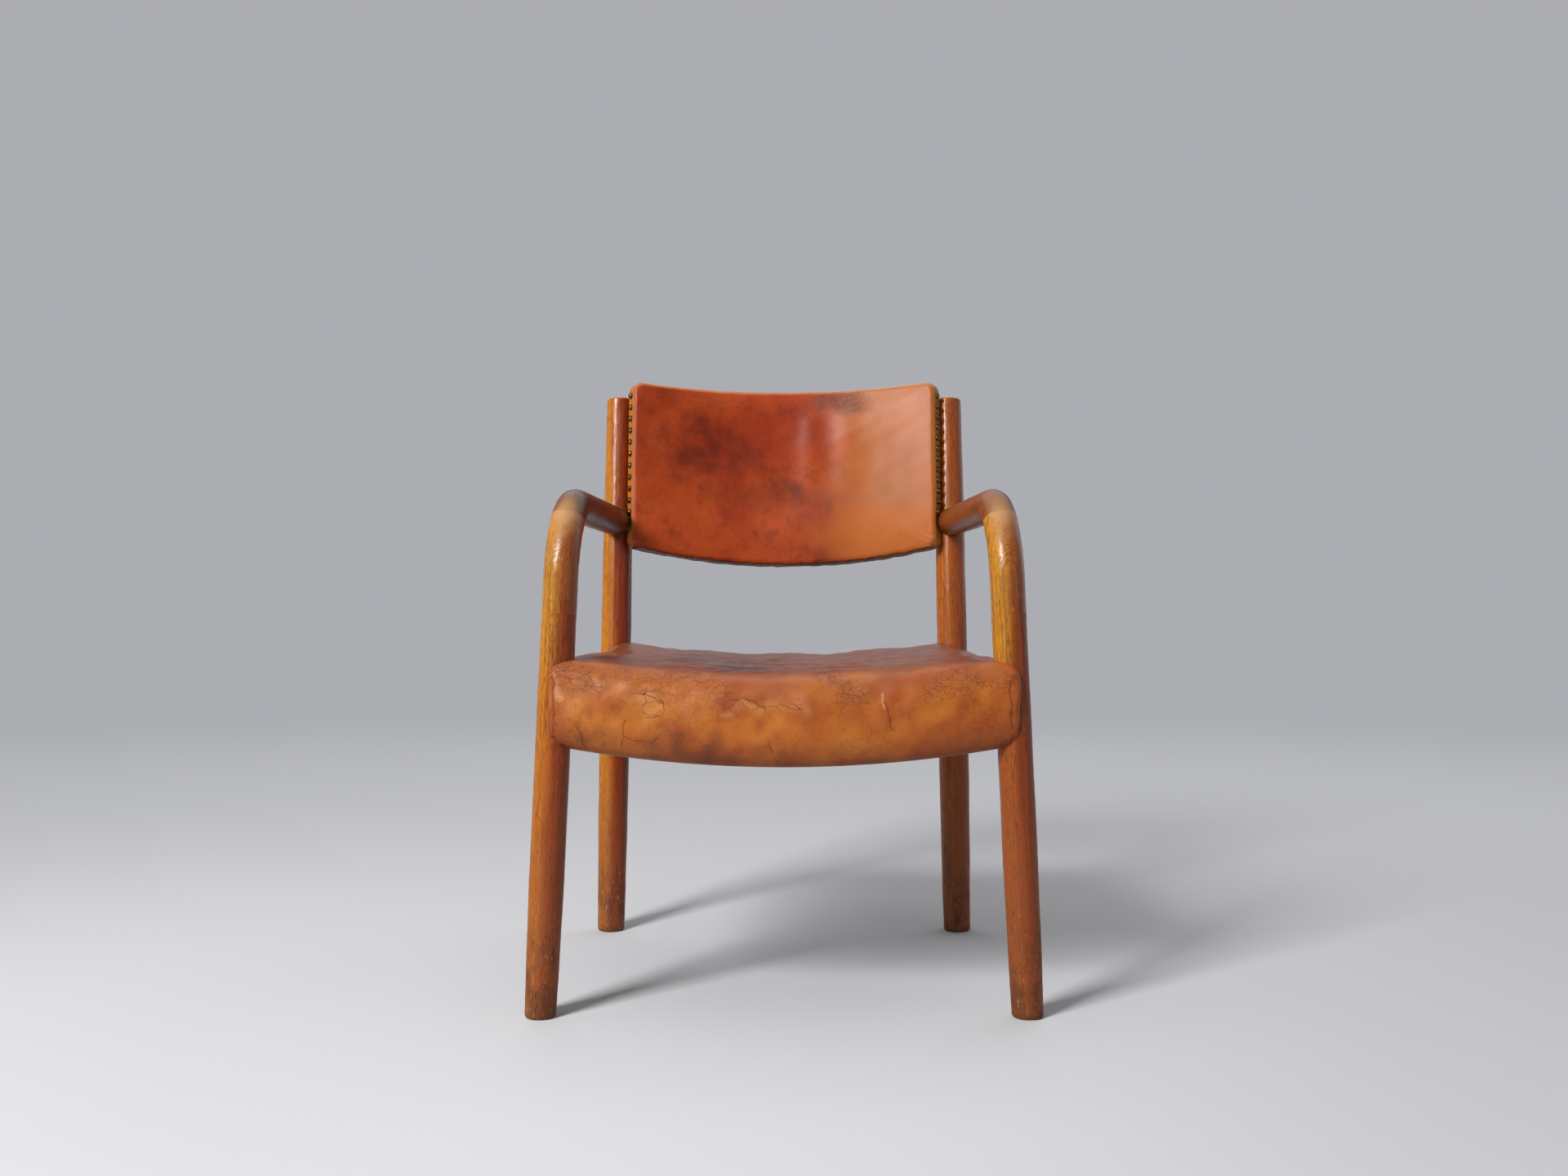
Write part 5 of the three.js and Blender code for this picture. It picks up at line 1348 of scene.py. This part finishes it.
def back_colour(r, colour, patch, fine):
    """Cognac leather: a dark stain from heads and hands, a paler right side with an orange glow low down,
    partly the hide's tone and partly painted light, painted shade between the ridges and under the bottom
    edge, a painted highlight on the front edges, a painted sheen on the top roll, and light strips of
    untouched leather between the nails. Also gives the strips and the smudge at the top."""
    pushed = r.wobbled(r.place, 24, 0.050, 12, detail=5)
    x = r.axes(pushed)[0]
    # Partly the hide's tone and partly painted light: paler to the right, where the curve faces the lamp
    colour = r.mix(r.ease(x, 0.035, 0.150, 0.0, 0.66), colour, srgb("B86E2A"))
    # Partly painted light: an orange glow low on the right
    glow = r.spot(pushed, on_panel(0.165, 0.615), (0.09, 0.09, 0.035), 0.7)
    colour = r.tinted(colour, glow, 0.78, "BC6218")
    stain = r.spot(pushed, on_panel(-0.140, 0.752), (0.070, 0.09, 0.056), 0.85)
    colour = r.tinted(colour, r.math("MULTIPLY", stain, r.ease(patch, 0.22, 0.60)), 0.66, "4E140A")
    low_cloud = r.spot(pushed, on_panel(-0.010, 0.672), (0.085, 0.09, 0.022), 0.8)
    colour = r.tinted(colour, low_cloud, 0.40, "5A2012")
    # Painted shade: a dark red band in the hollow between the two ridges
    band = r.spot(r.place, on_panel(0.064, 0.765), (0.017, 0.09, 0.045), 0.9)
    colour = r.tinted(colour, band, 0.55, "84240A")
    smudge = r.spot(pushed, on_panel(0.100, 0.826), (0.040, 0.09, 0.017), 0.7)
    colour = r.tinted(colour, smudge, 0.60, "4C2420")

    normal_axes = r.axes(r.add("NewGeometry").outputs["Normal"])
    sideways = r.math("ABSOLUTE", normal_axes[0])
    strip = r.ease(sideways, 0.72, 0.86)
    untouched = r.mix(fine, srgb("D08E30"), srgb("9C5A1E"))
    colour = r.mix(r.math("MULTIPLY", strip, 0.85), colour, untouched)
    # Painted shade under the bottom edge, which faces down, with pale flakes in it
    under = r.ease(normal_axes[2], -0.35, -0.75)
    shade_and_flakes_under = r.mix(r.ease(fine, 0.5, 0.62), srgb("3A180C"), srgb("7A5438"))
    colour = r.mix(r.math("MULTIPLY", under, 0.8), colour, shade_and_flakes_under)
    # Painted highlight along the rounded front edges of the ends
    edge = r.math("MULTIPLY", r.ease(sideways, 0.48, 0.58), r.ease(sideways, 0.74, 0.62))
    colour = r.tinted(colour, edge, 0.66, "D4935A")
    # Painted sheen on the top roll, where it faces up
    painted_top_sheen = r.math("MULTIPLY", r.ease(normal_axes[2], 0.22, 0.62), r.ease(patch, 0.30, 0.62, 0.45, 0.85))
    colour = r.mix(painted_top_sheen, colour, srgb("C0845E"))
    return r.tinted(colour, scratched(r, 21), 0.22, "541A0A"), strip, smudge


def back_hide():
    """The finish of the back: its colours, a fine pebble and, in the smudge, short slanting cracks."""
    r = Recipe("back_hide")
    colour, patch, fine = hide_clouds(r, "B44A1A", "98320E", "5A1806", 9)
    colour, strip, smudge = back_colour(r, colour, patch, fine)

    pebble = r.cells(r.wobbled(r.place, 900, 0.0006, 13), 1050)
    slanted = r.wobbled(r.place, 60, 0.014, 15, detail=4)
    slanted = r.moved(slanted, rotation=(0, 0.7, 0), scale=(1, 1, 0.42))
    hairs = r.ease(r.cells(slanted, 240, "DISTANCE_TO_EDGE"), 0.07, 0.0)
    hairs = r.math("MULTIPLY", hairs, r.math("MULTIPLY", smudge, r.ease(fine, 0.40, 0.55)))
    rough = r.math("MULTIPLY_ADD", patch, 0.10, 0.32)
    rough = r.math("MULTIPLY_ADD", r.ease(r.axes(r.place)[2], 0.70, 0.62), 0.14, rough)
    rough = r.math("MULTIPLY_ADD", strip, 0.12, rough)
    relief = r.math("MULTIPLY_ADD", pebble, 0.10, r.math("MULTIPLY", patch, 0.30))
    normal = r.bump(r.math("MULTIPLY_ADD", hairs, -0.45, relief), 0.0004)
    return r.finish(Base_Color=colour, Roughness=rough, Normal=normal, Specular_IOR_Level=0.25)


dress(back_cushion, back_hide())
print("nodes in the back's finish:", len(back_cushion.data.materials[0].node_tree.nodes))

# %% Where time has marked the seat, and where light and shade are painted on it
# Soft spots of each mark: the middle, three half-sizes, and how soft the edge is
SEAT_SPOTS = {
    "soot": [((-0.110, -0.31, 0.322), (0.045, 0.06, 0.014), 0.8)],
    "scuffed": [
        ((-0.066, -0.18, 0.410), (0.044, 0.075, 0.030), 0.7),
        ((-0.050, -0.01, 0.410), (0.050, 0.035, 0.030), 0.8),
        ((0.170, -0.20, 0.420), (0.012, 0.012, 0.030), 0.6),
    ],
    "flaked": [
        ((-0.165, -0.31, 0.382), (0.036, 0.08, 0.019), 0.35),
        ((-0.040, -0.32, 0.376), (0.052, 0.08, 0.013), 0.35),
        ((0.010, -0.32, 0.378), (0.022, 0.08, 0.012), 0.35),
    ],
    "golden": [
        ((-0.110, -0.31, 0.368), (0.052, 0.09, 0.018), 0.8),
        ((-0.045, -0.32, 0.345), (0.060, 0.09, 0.016), 0.8),
        ((0.188, -0.31, 0.386), (0.052, 0.09, 0.036), 0.8),
        ((-0.250, -0.31, 0.372), (0.018, 0.09, 0.036), 0.8),
    ],
    "ruddy": [
        ((0.105, -0.31, 0.366), (0.040, 0.09, 0.028), 0.8),
        ((0.000, -0.32, 0.372), (0.035, 0.09, 0.018), 0.8),
        ((-0.205, -0.31, 0.384), (0.032, 0.09, 0.016), 0.8),
    ],
    # A painted highlight on the left front corner, which is also made less rough
    "gloss_and_painted_highlight": [((-0.270, -0.31, 0.402), (0.012, 0.05, 0.014), 0.5)],
}


def blurred_spot(points, centre, size, soft):
    """1 inside a soft-edged ellipsoid of three half-sizes, and 0 outside it, for each point."""
    reach = np.linalg.norm((points - centre) / size, axis=-1)
    return ease(1 + soft, 1 - soft, reach)


def seat_marks(points):
    """One number from 0 to 1 for each mark and each point of the seat. `over` is the height above the
    hanging underside, and the spots' edges are pushed about by lumps."""
    x, y = points[:, 0], points[:, 1]
    over = points[:, 2] - saddle(x)
    pushed = points + 0.009 * np.stack([lumps(points, 0.045, seed) for seed in (61, 62, 63)], -1)
    marks = {
        name: np.max([blurred_spot(pushed, *spot) for spot in spots], 0) for name, spots in SEAT_SPOTS.items()
    }
    fore = ease(-0.235, -0.285, y)
    band = ease(0.055, 0.085, over) * ease(-0.16, -0.25, y) * ease(-0.5, 0.5, lumps(points, 0.09, 64))
    across = fore * ease(0.2, 0.9, lumps(points, 0.11, 65))
    return marks | {
        "fore": fore,
        "flaked": marks["flaked"] * fore,
        "golden": marks["golden"] * ease(0.100, 0.080, over),
        # Painted shade: the lowest part of the wall, which faces the floor
        "crackled": np.maximum(band, 0.5 * across),
        "low": ease(0.040, 0.004, over),
        # Painted sheen: a paler band along the front crest
        "crest": ease(0.074, 0.094, over) * ease(-0.262, -0.300, y),
        "top": ease(0.095, 0.106, over) * ease(-0.292, -0.255, y),
        "ends": ease(0.262, 0.279, np.abs(x)),
    }


def marked(piece, marks):
    """Stores each mark as an attribute of the mesh's points, where a finish can read it by name."""
    values_by_name = marks(points_of(piece.data))
    for name, values in values_by_name.items():
        piece.data.attributes.new(name, "FLOAT", "POINT").data.foreach_set("value", values)
    print(piece.name, "marks:", ", ".join(values_by_name))


marked(seat_cushion, seat_marks)

# %% Cracks of the seat
# Broken lines as corners across and up, in metres, as seen from the front
FRONT_CRACKS = [
    [(0.121, 0.402), (0.124, 0.376), (0.131, 0.349)],
    [(-0.019, 0.341), (-0.008, 0.309)],
    [(-0.191, 0.362), (-0.196, 0.330)],
    [(-0.193, 0.341), (-0.159, 0.334), (-0.142, 0.350)],
    [(-0.168, 0.394), (-0.143, 0.384), (-0.146, 0.366), (-0.166, 0.366)],
    [(-0.062, 0.388), (-0.036, 0.385), (-0.021, 0.374)],
    [(0.006, 0.384), (0.021, 0.376)],
]
# Dark strokes of painted shade where the leather folds at the front corners
CORNER_FOLDS = [
    [(-0.2800, 0.412), (-0.2772, 0.345)],
    [(0.2745, 0.409), (0.2760, 0.352)],
    [(-0.247, 0.352), (-0.240, 0.326)],
]
# A pale stroke beside the long crack on the right
PALE_STROKE = [[(0.1190, 0.393), (0.1205, 0.376)]]
print("long cracks:", len(FRONT_CRACKS), "folds:", len(CORNER_FOLDS))


def strokes(r, plane, lines, width):
    """Several broken lines drawn on the plane seen from the front."""
    drawn = []
    for line in lines:
        for start, end in zip(line, line[1:]):
            drawn.append(r.stroke(plane, (start[0], 0, start[1]), (end[0], 0, end[1]), width))
    return r.most(drawn)


def seat_cracks(r):
    """The net of fine cracks, the long torn lines with the painted shade of the corner folds, one pale
    stroke, and the heights of peeled flakes.
    """
    crackle = r.moved(r.wobbled(r.place, 70, 0.013, 14, detail=5), scale=(0.75, 1, 1.15))
    fine_lines = r.ease(r.cells(crackle, 175, "DISTANCE_TO_EDGE"), 0.085, 0.0)
    wide_lines = r.ease(r.cells(crackle, 78, "DISTANCE_TO_EDGE"), 0.036, 0.0)
    gaps = r.ease(r.noise(r.place, 130, 2, 0.5, 23), 0.40, 0.58)
    net = r.math("MAXIMUM", r.math("MULTIPLY", fine_lines, gaps), wide_lines)
    net = r.math("MULTIPLY", net, r.mark("crackled"))
    flake_height = r.axes(r.cells(crackle, 62, output="Color"))[0]
    flake_height = r.math("MULTIPLY", flake_height, r.mark("flaked"))
    flake_edges = r.ease(r.cells(crackle, 62, "DISTANCE_TO_EDGE"), 0.035, 0.0)
    net = r.math("MAXIMUM", net, r.math("MULTIPLY", flake_edges, r.mark("flaked")))

    plane = r.moved(r.wobbled(r.place, 90, 0.012, 18, detail=5), scale=(1, 0, 1))
    broken = r.ease(r.noise(r.place, 95, 2, 0.5, 20), 0.36, 0.56, 0.25, 1.0)
    torn = r.math("MULTIPLY", strokes(r, plane, FRONT_CRACKS, 0.0008), broken)
    # Painted shade in the corner folds
    folded = r.math("MULTIPLY", strokes(r, plane, CORNER_FOLDS, 0.0022), 0.8)
    torn = r.math("MULTIPLY", r.math("MAXIMUM", torn, folded), r.mark("fore"))
    pale_stroke = r.math("MULTIPLY", strokes(r, plane, PALE_STROKE, 0.0020), r.mark("fore"))
    return net, torn, pale_stroke, flake_height


# %% The hide of the seat
def seat_hide():
    """Tan leather that was sat on for decades: a crackled crest with a painted sheen, peeled flakes, long
    cracks, painted shade in the corner folds, soot and painted shade low down, dark scuffs in the hollow,
    and a painted highlight on the left front corner."""
    r = Recipe("seat_hide")
    colour, patch, _ = hide_clouds(r, "B86A20", "A24A18", "74300C", 5)
    # Painted shade low down, where the wall faces the floor
    low = r.math("MULTIPLY", r.mark("low"), r.math("MULTIPLY_ADD", patch, 0.9, 0.25))
    colour = r.tinted(colour, low, 0.78, "5E2A10")
    colour = r.tinted(colour, r.mark("soot"), 0.5, "3C2214")
    colour = r.tinted(colour, r.mark("golden"), r.ease(patch, 0.64, 0.36, 0.12, 0.50), "C47A24")
    colour = r.tinted(colour, r.mark("ruddy"), 0.40, "963C16")
    # Painted sheen along the crest
    colour = r.tinted(colour, r.mark("crest"), r.ease(patch, 0.35, 0.6, 0.20, 0.5), "A25E34")
    colour = r.tinted(colour, r.mark("top"), 0.8, "78381C")
    colour = r.tinted(colour, r.mark("scuffed"), r.ease(patch, 0.30, 0.54, 0.45, 0.95), "2E2428")
    colour = r.tinted(colour, r.mark("ends"), 0.42, "9C3F14")

    net, torn, pale_stroke, flake_height = seat_cracks(r)
    colour = r.tinted(colour, flake_height, 0.34, "D29658")
    colour = r.tinted(colour, pale_stroke, 0.34, "DCA87C")
    # Painted highlight: a pale spot on the left front corner
    colour = r.tinted(colour, r.mark("gloss_and_painted_highlight"), 0.35, "E6BE98")
    colour = r.tinted(colour, net, 0.70, "54240E")
    colour = r.tinted(colour, torn, 0.60, "552410")
    colour = r.tinted(colour, scratched(r, 22), 0.35, "6A3014")

    rough = r.math("MULTIPLY_ADD", patch, 0.26, r.math("MULTIPLY_ADD", r.mark("gloss_and_painted_highlight"), -0.20, 0.34))
    rough = r.math("MULTIPLY_ADD", torn, 0.3, r.math("MULTIPLY_ADD", r.mark("top"), -0.14, rough))
    pebble = r.cells(r.place, 1050)
    relief = r.math("MULTIPLY_ADD", pebble, 0.08, r.math("MULTIPLY", patch, 0.6))
    relief = r.math("MULTIPLY_ADD", flake_height, 0.7, relief)
    relief = r.math("MULTIPLY_ADD", torn, -0.9, r.math("MULTIPLY_ADD", net, -0.4, relief))
    normal = r.bump(relief, 0.0007, 0.85)
    return r.finish(Base_Color=colour, Roughness=rough, Normal=normal, Specular_IOR_Level=0.32)


dress(seat_cushion, seat_hide())
print("nodes in the seat's finish:", len(seat_cushion.data.materials[0].node_tree.nodes))

# %% [markdown]
# ## Brass, steel, cloth and the wood inside
# The nails are brass with clouds of dark tarnish. Under the leather lie a beech
# frame, webbing and a plywood shell; each gets the finish that it has in such a chair.

# %% Small finishes
def metal(name, bright, dull, rough, seed):
    """Old metal: tarnish in clouds over a brighter body, with fine pits."""
    r = Recipe(name)
    cloud = r.noise(r.place, 420, 4, 0.6, seed)
    colour = r.mix(r.ease(cloud, 0.38, 0.66), srgb(bright), srgb(dull))
    pits = r.noise(r.place, 1600, 2, 0.5, seed + 1)
    return r.finish(
        Base_Color=colour, Metallic=1.0, Roughness=r.math("MULTIPLY_ADD", cloud, 0.3, rough - 0.1),
        Normal=r.bump(pits, 0.00008, 0.5))


def woven(name, light, dark, threads, seed):
    """Plain cloth: two crossed waves for the threads, so many to the metre, and clouds for the dust."""
    r = Recipe(name)
    x, y, z = r.axes(r.place)
    turns = threads * 2 * math.pi
    warp = r.math("SINE", r.math("MULTIPLY", r.math("ADD", x, r.math("MULTIPLY", z, 0.35)), turns))
    weft = r.math("SINE", r.math("MULTIPLY", r.math("ADD", y, z), turns))
    weave = r.math("MULTIPLY_ADD", r.math("MULTIPLY", warp, weft), 0.5, 0.5)
    dust = r.noise(r.place, 18, 4, 0.6, seed)
    share = r.math("MULTIPLY_ADD", weave, 0.5, r.ease(dust, 0.3, 0.8, 0.0, 0.5))
    colour = r.mix(share, srgb(dark), srgb(light))
    normal = r.bump(weave, 0.0003, 0.6)
    return r.finish(Base_Color=colour, Roughness=0.92, Normal=normal, Specular_IOR_Level=0.2)


steel = metal("old_steel", "98948A", "57534C", 0.40, 11)
for piece in screws.values():
    dress(piece, steel)
brass = metal("antique_brass", "8A6844", "2C1D12", 0.27, 3)
for piece in nails.values():
    dress(piece, brass)
dress(dust_cloth, woven("black_cambric", "3D3732", "1C1816", 900, 6))
dress(rear_lining, woven("brown_linen", "5A4030", "33231A", 900, 12))
print("dressed:", len(screws), "screws,", len(nails), "nails and two cloths")


# %% Finishes inside the cushions
def pale_wood(name, light, dark, seed, layers=0.0):
    """Beech or plywood: short fine flecks along X, and layers along Y where it is plied."""
    r = Recipe(name)
    fleck = r.noise(r.moved(r.place, scale=(0.1, 1, 1)), 380, 3, 0.6, seed)
    cloud = r.noise(r.place, 14, 3, 0.5, seed + 1)
    colour = r.mix(r.ease(fleck, 0.4, 0.7, 0.0, 0.6), srgb(light), srgb(dark))
    colour = r.mix(r.ease(cloud, 0.4, 0.7, 0.0, 0.3), colour, srgb(dark))
    if layers:
        ply = r.math("FRACT", r.math("DIVIDE", r.axes(r.place)[1], layers))
        colour = r.mix(r.ease(ply, 0.4, 0.6, 0.0, 0.4), colour, srgb(dark))
    return r.finish(Base_Color=colour, Roughness=0.62, Normal=r.bump(fleck, 0.0002, 0.4))


HIDDEN = {
    "beech": (pale_wood("beech", "D0A878", "A87C4C", 7), ("rail", "block", "stile", "dowel")),
    "plywood": (pale_wood("plywood", "C69A66", "8E6438", 8, layers=0.0016), ("shell",)),
    "webbing": (woven("jute_webbing", "A58C62", "6E5A3C", 420, 9), ("strap",)),
}
for node_name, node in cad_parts.items():
    for material, words in HIDDEN.values():
        if any(word in node_name for word in words):
            dress(node, material)
print("materials:", len(bpy.data.materials))

# %% [markdown]
# ## Every piece rides on the frame and stands for its solid
# Nothing on this chair moves, so there is one body. Each new piece names the solid that it stands for.

# %% Say what each piece is
stands_for = {}


def placed(piece, slot, *nodes):
    """A piece rides on the chair and stands for CAD nodes; its finish slot is not used."""
    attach(piece, "root")
    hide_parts(*nodes)
    stands_for[piece.name] = nodes


for name in SIDES:
    placed(legs[name], "leg_oak", f"front_leg_{name}")
    placed(elbows[name], "elbow_oak", f"elbow_{name}")
    placed(arms[name], "arm_oak", f"arm_{name}")
    placed(posts[name], "post_oak", f"rear_post_{name}")
placed(seat_cushion, "seat_leather", "seat_cover", "seat_padding")
placed(back_cushion, "back_leather", "back_cover", "back_padding")
placed(dust_cloth, "dark_cloth", "seat_dust_cloth")
placed(rear_lining, "dark_cloth", "back_lining")
for node_name, piece in nails.items():
    placed(piece, "old_brass", node_name)
for node_name, piece in screws.items():
    placed(piece, "steel", node_name)
print(len(stands_for), "pieces stand for", sum(len(nodes) for nodes in stands_for.values()), "solids")

# %% Soft pieces
print("padded: the seat and the back; thin sheets: the dust cloth and the lining")

# %% [markdown]
# ## The room
# A pale floor runs up into a wall without an edge, as a paper roll does in a studio. The floor takes the
# chair's shadow. What the camera sees of the wall is a plain grey, and so is what a shiny surface sees.

# %% Floor and backdrop
FLOOR_RADIUS, BEND_RADIUS, WALL_HEIGHT = 6.0, 1.5, 6.0


def backdrop():
    """A round sheet: a flat floor, a quarter circle up, then a wall. Each ring is a radius and a height
    carried round the middle. Unlike the chair's skins it faces inwards, to where the chair stands."""
    turn = np.linspace(0, np.pi / 2, 25)
    floor = np.linspace(0.02, FLOOR_RADIUS, 12)[:-1]
    radius = np.concatenate([floor, FLOOR_RADIUS + BEND_RADIUS * np.sin(turn), [FLOOR_RADIUS + BEND_RADIUS]])
    height = np.concatenate([np.zeros(len(floor)), BEND_RADIUS * (1 - np.cos(turn)), [WALL_HEIGHT]])
    angle = np.linspace(0, 2 * np.pi, 97)[:-1]
    x, y, z = np.broadcast_arrays(
        radius[:, None] * np.cos(angle), radius[:, None] * np.sin(angle), height[:, None])
    inwards = quads_between(*x.shape)[:, ::-1].tolist()
    middle = [list(range(len(angle)))]
    return mesh_piece("paper_bowl", np.stack([x, y, z], -1).reshape(-1, 3), inwards + middle)


def paper():
    """Matt paper, painted a little paler near the chair as a pool of light. Far from the chair it shows the
    camera and every mirror a plain grey instead.
    """
    r = Recipe("grey_paper")
    away = r.vector("LENGTH", r.moved(r.place, location=(0, 0.4, 0)), output="Value")
    # Painted light: the matt paper is a little paler near the chair, as a pool of light
    shade = r.mix(r.ease(away, 0.10, 0.75), srgb("DEDEE0"), srgb("D4D4D7"))
    matt = r.add("BsdfDiffuse", {"Color": shade}).outputs[0]
    grey = r.mix(r.ease(away, 1.4, 4.9), srgb("C0C1C5"), srgb("ACADB2"))
    plain = r.add("Emission", {"Color": grey, "Strength": 1.0}).outputs[0]
    path = r.add("LightPath").outputs
    mirrored = r.math("MAXIMUM", path["Is Glossy Ray"], path["Is Transmission Ray"])
    seen = r.math("MAXIMUM", path["Is Camera Ray"], mirrored)
    share = r.math("MULTIPLY", seen, r.ease(away, 0.9, 3.1))
    mixed = r.add("MixShader", {0: share, 1: matt, 2: plain}).outputs[0]
    output = r.add("OutputMaterial")
    r.links.new(mixed, output.inputs[0])
    return r.material


roll = backdrop()
dress(roll, paper())
print("backdrop:", [round(length, 2) for length in roll.dimensions], "m")

# %% [markdown]
# ## Soft light
# One large lamp at the upper left gives the shadows to the lower right. The others are weak: they lift
# the shaded sides, the tops and the rim, as pale walls and a ceiling would.

# %% Lights
def softbox(name, at, aim, size, power):
    """A square lamp at one point, aimed at another."""
    data = bpy.data.lights.new(name, "AREA")
    data.shape = "RECTANGLE"
    data.size, data.size_y = size
    data.energy = power
    lamp = bpy.data.objects.new(name, data)
    lamp.location = at
    lamp.rotation_euler = (Vector(aim) - Vector(at)).to_track_quat("-Z", "Y").to_euler()
    scene.collection.objects.link(lamp)


softbox("key", (-2.36, -2.90, 2.88), (0, 0, 0.45), (1.08, 1.75), 205)
softbox("fill", (2.6, -1.9, 1.6), (0, 0, 0.4), (1.6, 2.0), 2)
softbox("rear_right", (2.7, 1.7, 1.5), (0, 0.1, 0.5), (1.8, 1.8), 7)
softbox("overhead", (-0.3, 0.3, 3.1), (0, 0.1, 0.3), (3.2, 2.6), 16)
softbox("behind", (0.2, 2.1, 2.7), (0, 0.2, 0.2), (3.6, 1.8), 24)
ROOM_COLOUR, ROOM_STRENGTH = (0.80, 0.82, 0.86, 1.0), 0.14
world = bpy.data.worlds.new("room")
world.use_nodes = True
sky = world.node_tree.nodes["Background"].inputs
sky["Color"].default_value = ROOM_COLOUR
sky["Strength"].default_value = ROOM_STRENGTH
scene.world = world
scene.view_settings.view_transform = "Standard"
